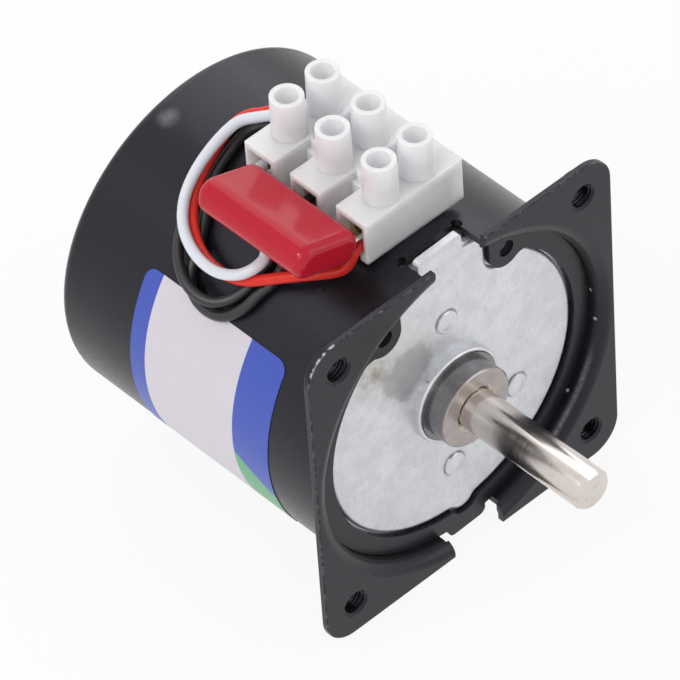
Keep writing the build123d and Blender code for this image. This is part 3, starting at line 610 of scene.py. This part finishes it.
@dataclass(frozen=True)
class PlatedSheet(Finish):
    """Zinc plated sheet with clouds, an oil stain beside the boss and painted shade round the
    heads.
    """

    clouds: Patches = Patches(0.42, (0.44, 0.62), 5.0, 0.7)
    cloud_share: float = 0.45
    oil: Colour = (0.3, 0.3, 0.305)
    oil_spot: Spot = Spot((-9.0, 3.5, 10.5), 8.6)
    oil_scale: float = 0.4
    oil_detail: float = 4.0
    oil_rough: float = 0.65
    oil_unevenness: float = 0.9
    oil_cut: Pair = (0.62, 1.06)
    oil_share: float = 0.58
    grease: Colour = (0.36, 0.34, 0.27)
    grease_spot: Spot = Spot((-15.6, 3.5, 15.0), 6.5)
    grease_cut: Pair = (0.25, 0.6)
    # Dark colour for the painted shade in the head creases and for the flecks.
    dirt_and_shade: Colour = (0.1, 0.095, 0.09)
    head_r: float = 2.15
    heads: tuple[Point, ...] = ((-0.54, 3.3, 15.49), (13.14, 3.3, -8.21), (-0.54, 3.3, -15.49))
    crease_inner: Pair = (0.52, 0.62)
    crease_outer: Pair = (0.39, 0.48)
    crease_patches: Patches = Patches(0.5, (0.35, 0.6), 2.0, 0.5, 0.3)
    crease_shade_share: float = 0.5
    flecks: Specks = Specks(0.7, 0.16, 0.2)
    fleck_share: float = 0.75
    fine_flecks: Specks = Specks(1.7, 0.14, 0.26)
    fine_fleck_share: float = 0.35

    def colour_of(self, graph: Graph, place: Socket) -> Socket:
        """Zinc grey, clouded, stained, flecked and with painted shade round the heads.

        Args:
            graph: The material's graph.
            place: Object coordinates in millimetres.

        Returns:
            The colour socket.
        """
        colour = super().colour_of(graph, place)
        clouded = graph.times(self.clouds.lay(graph, place), self.cloud_share)
        colour = graph.mix(clouded, colour, self.drift_colour)
        uneven = graph.times(graph.noise(place, self.oil_scale, self.oil_detail, self.oil_rough),
                             self.oil_unevenness)
        soaked = graph.math("ADD", self.oil_spot.lay(graph, place), uneven)
        stain = graph.ramp(soaked, *self.oil_cut)
        colour = graph.mix(graph.times(stain, self.oil_share), colour, self.oil)
        film = graph.times(self.grease_spot.lay(graph, place), graph.ramp(uneven, *self.grease_cut))
        colour = graph.mix(film, colour, self.grease)
        # The crease mask is painted shade round the heads; the flecks are dark pits.
        for mask, share in ((self._crease_shade(graph, place), self.crease_shade_share),
                            (self.flecks.lay(graph, place), self.fleck_share),
                            (self.fine_flecks.lay(graph, place), self.fine_fleck_share)):
            colour = graph.mix(graph.times(mask, share), colour, self.dirt_and_shade)
        return colour

    def _crease_shade(self, graph: Graph, place: Socket) -> Socket:
        """Painted shade in the crease round each spindle head.

        Args:
            graph: The material's graph.
            place: Object coordinates in millimetres.

        Returns:
            The value socket, 0 to 1.
        """
        found = 0.0
        for at in self.heads:
            near = Spot(at, 2 * self.head_r).lay(graph, place)
            crease = graph.times(graph.ramp(near, *self.crease_outer),
                                 graph.ramp(near, *self.crease_inner, 1.0, 0.0))
            found = graph.math("MAXIMUM", crease, found)
        return graph.times(found, self.crease_patches.lay(graph, place))


@dataclass(frozen=True)
class LabelFilm(Finish):
    """Blank label: blue bands at both ends, a pale field and a green corner in the front band.

    The green starts below a slanting line, given by its angle about the shaft at
    both edges of the front band.
    """

    blue: Colour = (0.045, 0.09, 0.48)
    green: Colour = (0.1, 0.42, 0.2)
    band_rear: float = 40.1
    band_front: float = 20.4
    wedge_end: float = 12.5
    wedge_angle_front: float = 106.0
    wedge_angle_rear: float = 95.0
    print_blur: float = 0.06
    print_blur_degrees: float = 0.15

    def colour_of(self, graph: Graph, place: Socket) -> Socket:
        """Bands along the can, with the green corner from the angle about the shaft.

        Args:
            graph: The material's graph.
            place: Object coordinates in millimetres.

        Returns:
            The colour socket.
        """
        pale = super().colour_of(graph, place)
        across, along, up = graph.split(place)
        blur, turn_blur = self.print_blur, self.print_blur_degrees
        rear = graph.ramp(along, self.band_rear - blur, self.band_rear + blur)
        front = graph.ramp(along, self.band_front - blur, self.band_front + blur, 1.0, 0.0)
        colour = graph.mix(front, graph.mix(rear, pale, self.blue), self.blue)
        angle = graph.math("DEGREES", graph.math("ARCTAN2", graph.times(across, -1.0), up))
        drop = self.wedge_angle_front - self.wedge_angle_rear
        slope = drop / (self.band_front - self.wedge_end)
        limit = graph.math("SUBTRACT", self.wedge_angle_front + slope * self.wedge_end,
                           graph.times(along, slope))
        below = graph.ramp(graph.math("SUBTRACT", angle, limit), -turn_blur, turn_blur)
        return graph.mix(graph.times(below, front), colour, self.green)


@dataclass(frozen=True)
class TurnedSteel(Finish):
    """Ground or turned metal with fine rings along the shaft axis."""

    MARK_SHARE: ClassVar[float] = 0.7
    MARK_ROUGH: ClassVar[float] = 0.7

    ring_scale: float = 6.0
    ring_across: float = 0.15

    def relief_of(self, graph: Graph, place: Socket) -> Socket:
        """Fine circumferential tool marks over a light grain.

        Args:
            graph: The material's graph.
            place: Object coordinates in millimetres.

        Returns:
            The value socket, 0 to 1.
        """
        rings = graph.stretch(place, (self.ring_across, self.ring_scale, self.ring_across))
        marks = graph.noise(rings, 1.0, rough=self.MARK_ROUGH)
        grain = graph.noise(place, self.grain_scale)
        return graph.math("ADD", graph.times(marks, self.MARK_SHARE),
                          graph.times(grain, 1 - self.MARK_SHARE))


@dataclass(frozen=True)
class BushIron(TurnedSteel):
    """Oiled sintered iron: dark barrel, paler faced end and a painted highlight on the lip round
    the bore.
    """

    face: Colour = (0.42, 0.375, 0.36)
    face_depth: Pair = (-1.62, -1.52)
    face_drift: float = 0.35
    face_least: float = 0.6
    # Painted highlight: a near-white ring on the bore's chamfer.
    lip_highlight: Colour = (0.92, 0.84, 0.77)
    lip_r: float = 3.7
    lip_width: float = 0.5
    lip_depth: Pair = (-1.0, -0.8)

    def colour_of(self, graph: Graph, place: Socket) -> Socket:
        """Barrel colour, with the front face and a painted highlight on the bore's lip laid over
        it.

        Args:
            graph: The material's graph.
            place: Object coordinates in millimetres.

        Returns:
            The colour socket.
        """
        colour = super().colour_of(graph, place)
        depth = graph.split(place)[1]
        uneven = graph.effect(EFFECTS.drift, place, Scale=self.face_drift)
        front = graph.times(graph.ramp(depth, *self.face_depth, 1.0, 0.0),
                            graph.ramp(uneven, 0.0, 1.0, self.face_least, 1.0))
        colour = graph.mix(front, colour, self.face)
        # Painted highlight on the bore's lip.
        lip_highlight = graph.effect(EFFECTS.halo, place, Radius=self.lip_r, Width=self.lip_width)
        forward = graph.ramp(depth, *self.lip_depth, 1.0, 0.0)
        return graph.mix(graph.times(lip_highlight, forward), colour, self.lip_highlight)


@dataclass(frozen=True)
class NickelShaft(TurnedSteel):
    """Nickelled shaft with faint brownish streaks along it and a few nicks."""

    streak: Colour = (0.25, 0.21, 0.185)
    streak_share: float = 0.16
    streak_stretch: Point = (0.8, 0.12, 0.8)
    streak_patches: Patches = Patches(0.9, (0.48, 0.72), 5.0, 0.65)

    def colour_of(self, graph: Graph, place: Socket) -> Socket:
        """Nickel with handling streaks that run along the shaft.

        Args:
            graph: The material's graph.
            place: Object coordinates in millimetres.

        Returns:
            The colour socket.
        """
        colour = super().colour_of(graph, place)
        streaks = self.streak_patches.lay(graph, graph.stretch(place, self.streak_stretch))
        return graph.mix(graph.times(streaks, self.streak_share), colour, self.streak)


@dataclass(frozen=True)
class WoundWire(Finish):
    """Enamelled wire laid in turns side by side."""

    # A wave texture repeats once in 0.314 of its own units.
    WAVE: ClassVar[float] = 0.314

    pitch: float = 0.25
    unevenness: float = 0.25

    def relief_of(self, graph: Graph, place: Socket) -> Socket:
        """Round ridges across the coil, one for each turn."""
        inputs = {"Vector": place, "Scale": self.WAVE / self.pitch, "Distortion": self.unevenness}
        return graph.node(Pattern.WAVES.value, inputs, bands_direction="Y").outputs["Fac"]


FINISHES = {
    "black_steel": PaintedSteel(
        "black_paint", (0.0085, 0.0085, 0.0115), 0.3, specular=0.33,
        specular_tint=(0.86, 0.87, 1.0), drift_scale=0.06, drift_amount=0.4,
        drift_colour=(0.015, 0.015, 0.017), grain_scale=1.4, grain_height=0.012,
        specks=Specks(0.35, 0.03, 0.07), speck_colour=(0.2, 0.2, 0.21), roughness_spread=0.1),
    "plated_cover": PlatedSheet(
        "zinc_plate", (0.74, 0.75, 0.775), 0.4, metallic=0.7, drift_scale=0.11, drift_amount=0.5,
        drift_colour=(0.56, 0.57, 0.6), grain_scale=2.2, grain_height=0.012, scratch_share=0.35,
        roughness_spread=0.2),
    "sintered_iron": BushIron(
        "oiled_sintered_iron", (0.26, 0.25, 0.255), 0.26, metallic=0.92, drift_amount=0.5,
        drift_colour=(0.13, 0.125, 0.13), grain_height=0.008, specks=Specks(3.0, 0.25, 0.28),
        speck_colour=(0.05, 0.045, 0.04)),
    "shaft_steel": NickelShaft(
        "nickelled_shaft", (0.72, 0.665, 0.625), 0.17, metallic=1.0, drift_scale=0.2,
        drift_amount=0.35, drift_colour=(0.52, 0.46, 0.42), grain_height=0.003,
        specks=Specks(0.8, 0.1, 0.13), speck_colour=(0.2, 0.18, 0.16)),
    "steel": TurnedSteel(
        "plain_steel", (0.52, 0.52, 0.52), 0.3, metallic=0.95, drift_amount=0.3,
        drift_colour=(0.38, 0.37, 0.36), grain_height=0.005),
    "white_plastic": Finish(
        "white_moulding", (0.895, 0.9, 0.925), 0.33, specular=0.35, subsurface=1.0, scatter_mm=3.0,
        drift_colour=(0.87, 0.87, 0.9), grain_scale=1.2, grain_height=0.008,
        specks=Specks(0.4, 0.008, 0.08), speck_colour=(0.35, 0.33, 0.3)),
    "plated_screw": TurnedSteel(
        "zinc_screw", (0.62, 0.62, 0.64), 0.28, metallic=1.0, drift_amount=0.3,
        drift_colour=(0.45, 0.45, 0.48), grain_height=0.005),
    "brass": Finish(
        "plain_brass", (0.72, 0.55, 0.25), 0.3, metallic=1.0, drift_amount=0.35,
        drift_colour=(0.5, 0.36, 0.15), grain_height=0.006),
    "tinned_wire": Finish("tinned_wire", (0.66, 0.66, 0.64), 0.3, metallic=1.0, grain_height=0.004),
    "red_resin": Finish(
        "dipped_resin", (0.52, 0.012, 0.03), 0.13, specular=0.25, subsurface=0.05,
        drift_colour=(0.43, 0.009, 0.022), grain_scale=0.35, grain_height=0.05,
        roughness_spread=0.06),
    "label_film": LabelFilm(
        "label_film", (0.7, 0.66, 0.72), 0.35, drift_amount=0.2, drift_colour=(0.6, 0.56, 0.64),
        grain_height=0.004, roughness_spread=0.08),
    "rubber": Finish(
        "grommet_rubber", (0.03, 0.03, 0.031), 0.6, drift_amount=0.3,
        drift_colour=(0.05, 0.05, 0.05)),
    "white_insulation": Finish(
        "white_vinyl", (0.78, 0.81, 0.88), 0.33, subsurface=0.1, drift_amount=0.2,
        drift_colour=(0.68, 0.7, 0.78), grain_height=0.006),
    "red_insulation": Finish(
        "red_vinyl", (0.8, 0.035, 0.022), 0.33, specular=0.3, subsurface=0.05, drift_amount=0.3,
        drift_colour=(0.66, 0.022, 0.015), grain_height=0.006),
    "black_insulation": Finish(
        "black_vinyl", (0.018, 0.018, 0.021), 0.36, drift_amount=0.3,
        drift_colour=(0.03, 0.03, 0.033), grain_height=0.006),
    "bobbin_plastic": Finish(
        "bobbin_moulding", (0.62, 0.6, 0.55), 0.45, drift_amount=0.2,
        drift_colour=(0.52, 0.5, 0.45), grain_height=0.008),
    "copper_wire": WoundWire(
        "enamelled_wire", (0.45, 0.16, 0.06), 0.3, metallic=0.7, coat=0.4,
        drift_colour=(0.3, 0.1, 0.04), grain_height=0.12),
    "ferrite": Finish(
        "ground_ferrite", (0.06, 0.06, 0.062), 0.5, metallic=0.2, drift_amount=0.3,
        drift_colour=(0.09, 0.09, 0.09), grain_scale=5.0),
}

# The spindle ends are zinc plated like the screws, though the record calls them plain steel.
SHOWN_IN = {"gear_spindles": "plated_screw"}


@dataclass
class Paintbox:
    """Builds each finish once and puts it on pieces and on the solids that stay."""

    made: dict[str, bpy.types.Material] = field(default_factory=dict)

    def get(self, slot: str) -> bpy.types.Material:
        """The material of one slot of the record.

        Args:
            slot: The slot's name.

        Returns:
            Its material, built when it is first asked for.
        """
        if slot not in self.made:
            self.made[slot] = FINISHES[slot].build()
        return self.made[slot]

    def dress_solids(self, record: dict, nodes: dict) -> None:
        """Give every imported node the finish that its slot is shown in.

        Args:
            record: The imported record.
            nodes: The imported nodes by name.
        """
        for part in record["subparts"]:
            slot = SHOWN_IN.get(part["node"], part["material_slot"])
            for holder in nodes[part["node"]].material_slots:
                holder.material = self.get(slot)
            LOG.info("dressed %s in %s", part["node"], slot)

    def finish_piece(self, piece: bpy.types.Object, slot: str, body: str) -> None:
        """Give a new piece the finish of a slot and the body that carries it.

        Args:
            piece: The new piece.
            slot: The slot whose finish it gets.
            body: The body that it rides on.
        """
        piece.data.materials.clear()
        piece.data.materials.append(self.get(slot))
        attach(piece, body)
        LOG.info("made %s on %s", piece.name, body)


# -------------------- studio
@dataclass(frozen=True)
class Lamp:
    """One square soft lamp: its place and side in metres and its power in watts."""

    name: str
    spot: Point
    size: float
    power: float

    def build(self, target: Vector) -> None:
        """Place the lamp so that it faces its target.

        Args:
            target: The point that it faces, in metres.
        """
        data = bpy.data.lights.new(self.name, "AREA")
        data.size = self.size
        data.energy = self.power
        lamp = add_object(self.name, data)
        lamp.location = self.spot
        lamp.rotation_euler = (Vector(self.spot) - target).to_track_quat("Z", "Y").to_euler()


@dataclass(frozen=True)
class Studio:
    """Camera at the viewing angle, pale floor and soft lamps."""

    WHITE: ClassVar[tuple[float, float, float, float]] = (1.0, 1.0, 1.0, 1.0)

    azimuth: float = -40.3727
    elevation: float = 45.3353
    roll: float = -4.2139
    distance: float = 989.10
    focal_pixels: float = 6401.94
    aim_pixels: Pair = (333.364, 305.797)
    frame_pixels: float = 680.0
    sensor: float = 36.0
    target: Point = (0.0, 30.0, 0.0)
    surround: float = 0.45
    floor_height: float = -31.4
    floor_half: float = 4.0
    floor_colour: Colour = (0.9, 0.9, 0.9)
    floor_roughness: float = 0.9
    floor_glow: float = 0.9
    lamps: tuple[Lamp, ...] = (
        Lamp("key", (-1.0, -0.25, 0.95), 0.9, 6.0),
        Lamp("fill", (0.7, -1.0, 0.5), 1.0, 3.4),
        Lamp("spark", (-0.95, 0.38, 1.06), 0.3, 3.6),
        Lamp("window", (0.72, 0.86, 0.98), 1.3, 6.8),
    )

    def axes(self) -> tuple[Vector, Vector, Vector]:
        """The camera's right, up and back directions.

        Returns:
            Three unit vectors.
        """
        az, el, rl = (math.radians(value) for value in (self.azimuth, self.elevation, self.roll))
        level_right = Vector((math.cos(az), math.sin(az), 0.0))
        back = Vector((math.sin(az) * math.cos(el), -math.cos(az) * math.cos(el), math.sin(el)))
        level_up = back.cross(level_right)
        right = math.cos(rl) * level_right + math.sin(rl) * level_up
        up = -math.sin(rl) * level_right + math.cos(rl) * level_up
        return right, up, back

    def make_camera(self) -> None:
        """Place the camera and make it the scene's own."""
        right, up, back = self.axes()
        half = self.frame_pixels / 2
        aside, below = ((aim - half) / self.focal_pixels * self.distance for aim in self.aim_pixels)
        spot = Vector(self.target) - aside * right + below * up + self.distance * back
        data = bpy.data.cameras.new("view")
        data.sensor_width = self.sensor
        data.lens = self.focal_pixels / self.frame_pixels * self.sensor
        camera = add_object("view", data)
        turn = Matrix((right, up, back)).transposed().to_4x4()
        camera.matrix_world = Matrix.Translation(spot * MM) @ turn
        bpy.context.scene.camera = camera

    @staticmethod
    def seen(graph: Graph) -> Socket:
        """1 for rays from the camera, mirrored or through clear pieces, otherwise 0.

        Args:
            graph: The graph of the world or of the floor's material.

        Returns:
            The value socket.
        """
        rays = graph.node("ShaderNodeLightPath").outputs
        direct = graph.math("MAXIMUM", rays["Is Camera Ray"], rays["Is Glossy Ray"])
        return graph.math("MAXIMUM", direct, rays["Is Transmission Ray"])

    def make_world(self) -> None:
        """White to the camera and to gloss, a plain even level for the rest."""
        world = bpy.data.worlds.new("studio")
        bpy.context.scene.world = world
        world.use_nodes = True
        graph = Graph(world.node_tree)
        plain = world.node_tree.nodes["Background"]
        plain.inputs["Color"].default_value = self.WHITE
        plain.inputs["Strength"].default_value = self.surround
        white = graph.node("ShaderNodeBackground", {"Color": self.WHITE, "Strength": 1.0})
        choice = graph.node("ShaderNodeMixShader",
                            {0: self.seen(graph), 1: plain.outputs[0], 2: white.outputs[0]})
        output = world.node_tree.nodes["World Output"]
        graph.tree.links.new(choice.outputs[0], output.inputs["Surface"])

    def floor_material(self) -> bpy.types.Material:
        """Pale paper that looks white to the camera but for the shadow.

        Returns:
            The material.
        """
        material = bpy.data.materials.new("floor_paper")
        material.use_nodes = True
        graph = Graph(material.node_tree)
        shader = material.node_tree.nodes["Principled BSDF"]
        shader.inputs["Base Color"].default_value = (*self.floor_colour, 1.0)
        shader.inputs["Roughness"].default_value = self.floor_roughness
        glow = graph.node("ShaderNodeEmission", {"Color": self.WHITE, "Strength": 1.0})
        share = graph.times(self.seen(graph), self.floor_glow)
        choice = graph.node("ShaderNodeMixShader",
                            {0: share, 1: shader.outputs[0], 2: glow.outputs[0]})
        output = material.node_tree.nodes["Material Output"]
        graph.tree.links.new(choice.outputs[0], output.inputs["Surface"])
        return material

    def make_floor(self) -> None:
        """Lay the floor just under the flange's lower edge."""
        work = bmesh.new()
        bmesh.ops.create_grid(work, x_segments=1, y_segments=1, size=self.floor_half)
        bmesh.ops.translate(work, verts=work.verts, vec=(0.0, 0.0, self.floor_height * MM))
        floor = add_mesh("floor", work)
        floor.data.materials.append(self.floor_material())

    def build(self) -> None:
        """Set up the camera, the world, the floor and the lamps."""
        bpy.context.scene.view_settings.view_transform = "Standard"
        self.make_camera()
        self.make_world()
        self.make_floor()
        for lamp in self.lamps:
            lamp.build(Vector(self.target) * MM)


# -------------------- leads
@dataclass(frozen=True)
class Lead:
    """One insulated lead: its route in metres, from the grommet to its insert."""

    ROUND_STEPS: ClassVar[int] = 6
    RUN_STEPS: ClassVar[int] = 10
    ORDER: ClassVar[int] = 3

    node: str
    slot: str
    length: float
    route: tuple[Point, ...]
    diameter: float = 0.0018

    def build(self, paints: Paintbox) -> None:
        """Args:
            paints: Where its finish comes from.
        """
        curve = bpy.data.curves.new(f"{self.node}_run", "CURVE")
        curve.dimensions = "3D"
        curve.bevel_depth = self.diameter / 2
        curve.bevel_resolution = self.ROUND_STEPS
        curve.resolution_u = self.RUN_STEPS
        curve.use_fill_caps = True
        line = curve.splines.new("NURBS")
        line.points.add(len(self.route) - 1)
        for point, at in zip(line.points, self.route):
            point.co = (*at, 1.0)
        line.order_u = self.ORDER
        line.use_endpoint_u = True
        piece = add_object(f"{self.node}_run", curve)
        paints.finish_piece(piece, self.slot, "housing")
        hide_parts(self.node)


LEADS = (
    Lead("white_lead", "white_insulation", 0.0697, (
        (0.0016, 0.0382, 0.0292), (0.0016, 0.0382, 0.0328), (-0.0002, 0.0388, 0.0352),
        (-0.0032, 0.0408, 0.0353), (-0.0053, 0.0425, 0.0350), (-0.0083, 0.0427, 0.0343),
        (-0.0120, 0.0424, 0.0331), (-0.0156, 0.0418, 0.0315), (-0.0191, 0.0406, 0.0292),
        (-0.0220, 0.0378, 0.0271), (-0.0237, 0.0334, 0.0257), (-0.0241, 0.0285, 0.0256),
        (-0.0228, 0.0246, 0.0266), (-0.0205, 0.0228, 0.0280), (-0.0177, 0.0232, 0.0286),
        (-0.0152, 0.0274, 0.0313), (-0.0131, 0.0310, 0.0300), (-0.0122, 0.0338, 0.0310),
        (-0.0104, 0.0342, 0.0332), (-0.0080, 0.0342, 0.0332),
    )),
    Lead("red_lead", "red_insulation", 0.0692, (
        (0.0030, 0.0396, 0.0292), (0.0030, 0.0396, 0.0322), (0.0014, 0.0403, 0.0346),
        (-0.0014, 0.0415, 0.0344), (-0.0021, 0.0442, 0.0330), (-0.0055, 0.0444, 0.0327),
        (-0.0095, 0.0434, 0.0318), (-0.0138, 0.0422, 0.0302), (-0.0175, 0.0404, 0.0282),
        (-0.0204, 0.0374, 0.0261), (-0.0223, 0.0331, 0.0245), (-0.0226, 0.0283, 0.0242),
        (-0.0218, 0.0242, 0.0250), (-0.0200, 0.0210, 0.0264), (-0.0173, 0.0164, 0.0284),
        (-0.0144, 0.0130, 0.0292), (-0.0125, 0.0114, 0.0298), (-0.0105, 0.0114, 0.0330),
        (-0.0080, 0.0114, 0.0330),
    )),
    Lead("black_lead_1", "black_insulation", 0.0674, (
        (0.0016, 0.0410, 0.0292), (0.0016, 0.0410, 0.0318), (0.0009, 0.0420, 0.0325),
        (-0.0011, 0.0440, 0.0315), (-0.0022, 0.0456, 0.0310), (-0.0071, 0.0449, 0.0304),
        (-0.0118, 0.0439, 0.0288), (-0.0157, 0.0425, 0.0270), (-0.0189, 0.0412, 0.0246),
        (-0.0219, 0.0394, 0.0228), (-0.0247, 0.0362, 0.0219), (-0.0261, 0.0325, 0.0207),
        (-0.0257, 0.0287, 0.0202), (-0.0236, 0.0262, 0.0208), (-0.0212, 0.0246, 0.0227),
        (-0.0184, 0.0239, 0.0252), (-0.0154, 0.0238, 0.0270), (-0.0126, 0.0238, 0.0295),
        (-0.0105, 0.0238, 0.0330), (-0.0080, 0.0238, 0.0330),
    )),
    Lead("black_lead_2", "black_insulation", 0.0677, (
        (0.0002, 0.0396, 0.0292), (0.0002, 0.0396, 0.0318), (-0.0006, 0.0406, 0.0325),
        (-0.0024, 0.0426, 0.0315), (-0.0044, 0.0433, 0.0307), (-0.0084, 0.0425, 0.0300),
        (-0.0118, 0.0417, 0.0288), (-0.0149, 0.0403, 0.0273), (-0.0175, 0.0377, 0.0258),
        (-0.0212, 0.0358, 0.0229), (-0.0239, 0.0352, 0.0200), (-0.0255, 0.0317, 0.0178),
        (-0.0254, 0.0267, 0.0180), (-0.0233, 0.0234, 0.0206), (-0.0209, 0.0224, 0.0231),
        (-0.0185, 0.0209, 0.0251), (-0.0154, 0.0219, 0.0270), (-0.0126, 0.0219, 0.0295),
        (-0.0105, 0.0219, 0.0330), (-0.0080, 0.0219, 0.0330),
    )),
)


# -------------------- threads
@dataclass(frozen=True)
class FlangeThreads:
    """Thread turns inside the four tapped holes of the flange."""

    half_pitch: float = 25.4
    root_r: float = 2.52
    crest_r: float = 1.88
    root_half: float = 0.29
    crest_half: float = 0.03
    pitch: float = 0.6
    turns: int = 4
    start: float = 0.3
    start_turn: float = 50.0
    steps: int = 36

    def build(self, paints: Paintbox) -> None:
        """Make one helical ridge per hole, all in one mesh.

        Args:
            paints: Where the finish comes from.
        """
        work = bmesh.new()
        for side_x in (-1, 1):
            for side_z in (-1, 1):
                self._ridge(work, side_x * self.half_pitch, side_z * self.half_pitch)
        bmesh.ops.recalc_face_normals(work, faces=work.faces)
        paints.finish_piece(add_mesh("flange_threads", work), "black_steel", "housing")

    def _ridge(self, work: bmesh.types.BMesh, x: float, z: float) -> None:
        """Sweep a small profile round one hole while it climbs along the axis.

        Args:
            work: The mesh that receives the ridge.
            x: The hole's place across the flange in millimetres.
            z: The hole's place up the flange in millimetres.
        """
        profile = ((self.root_r, -self.root_half), (self.crest_r, -self.crest_half),
                   (self.crest_r, self.crest_half), (self.root_r, self.root_half))
        turned = math.radians(self.start_turn)
        along, down = math.cos(turned), math.sin(turned)
        corners = [((x + r * along) * MM, (self.start + y) * MM, (z - r * down) * MM)
                   for r, y in profile]
        face = work.faces.new([work.verts.new(corner) for corner in corners])
        count = self.steps * self.turns
        climb = self.pitch * self.turns / count
        bmesh.ops.spin(work, geom=[face, *face.edges, *face.verts], cent=(x * MM, 0.0, z * MM),
                       axis=(0.0, 1.0, 0.0), dvec=(0.0, climb * MM, 0.0),
                       angle=2 * math.pi * self.turns, steps=count, use_merge=False,
                       use_duplicate=False)


# -------------------- spindle heads
@dataclass(frozen=True)
class SpindleCaps:
    """Staked domes over the three spindle ends in the gearbox cover."""

    circle_r: float = 15.5
    angles: tuple[float, ...] = (-2.0, 122.0, 182.0)
    cover_front: float = 3.5
    steps: int = 48
    weld: float = 0.001
    outline: tuple[Pair, ...] = (
        (0.0, 0.60), (0.6, 0.575), (1.1, 0.5), (1.4, 0.43), (1.58, 0.4), (1.75, 0.42), (1.9, 0.4),
        (2.02, 0.3), (2.1, 0.15), (2.14, 0.0),
    )

    def build(self, paints: Paintbox) -> None:
        """Spin one dome for each spindle, all in one mesh.

        Args:
            paints: Where the finish comes from.
        """
        work = bmesh.new()
        for angle in self.angles:
            turn = math.radians(angle)
            self._dome(work, self.circle_r * math.sin(turn), self.circle_r * math.cos(turn))
        bmesh.ops.remove_doubles(work, verts=work.verts, dist=self.weld * MM)
        bmesh.ops.recalc_face_normals(work, faces=work.faces)
        for face in work.faces:
            face.smooth = True
        paints.finish_piece(add_mesh("spindle_caps", work), "plated_cover", "housing")

    def _dome(self, work: bmesh.types.BMesh, x: float, z: float) -> None:
        """Spin the outline about one spindle and close it underneath.

        Args:
            work: The mesh that receives the dome.
            x: The spindle's place across the cover in millimetres.
            z: The spindle's place up the cover in millimetres.
        """
        points = [*self.outline, (0.0, 0.0)]
        spots = [work.verts.new(((x + r) * MM, (self.cover_front - rise) * MM, z * MM))
                 for r, rise in points]
        edges = [work.edges.new(pair) for pair in zip(spots, spots[1:])]
        bmesh.ops.spin(work, geom=[*spots, *edges], cent=(x * MM, 0.0, z * MM),
                       axis=(0.0, 1.0, 0.0), angle=2 * math.pi, steps=self.steps, use_merge=True,
                       use_duplicate=False)


def main() -> None:
    """Build the studio and every piece, and dress the solids."""
    logging.basicConfig(level=logging.INFO, format="%(message)s")
    Studio().build()
    paints = Paintbox()
    paints.dress_solids(frame["record"], frame["nodes"])
    for lead in LEADS:
        lead.build(paints)
    FlangeThreads().build(paints)
    SpindleCaps().build(paints)
    bpy.context.view_layer.update()


if __name__ == "__main__":
    main()
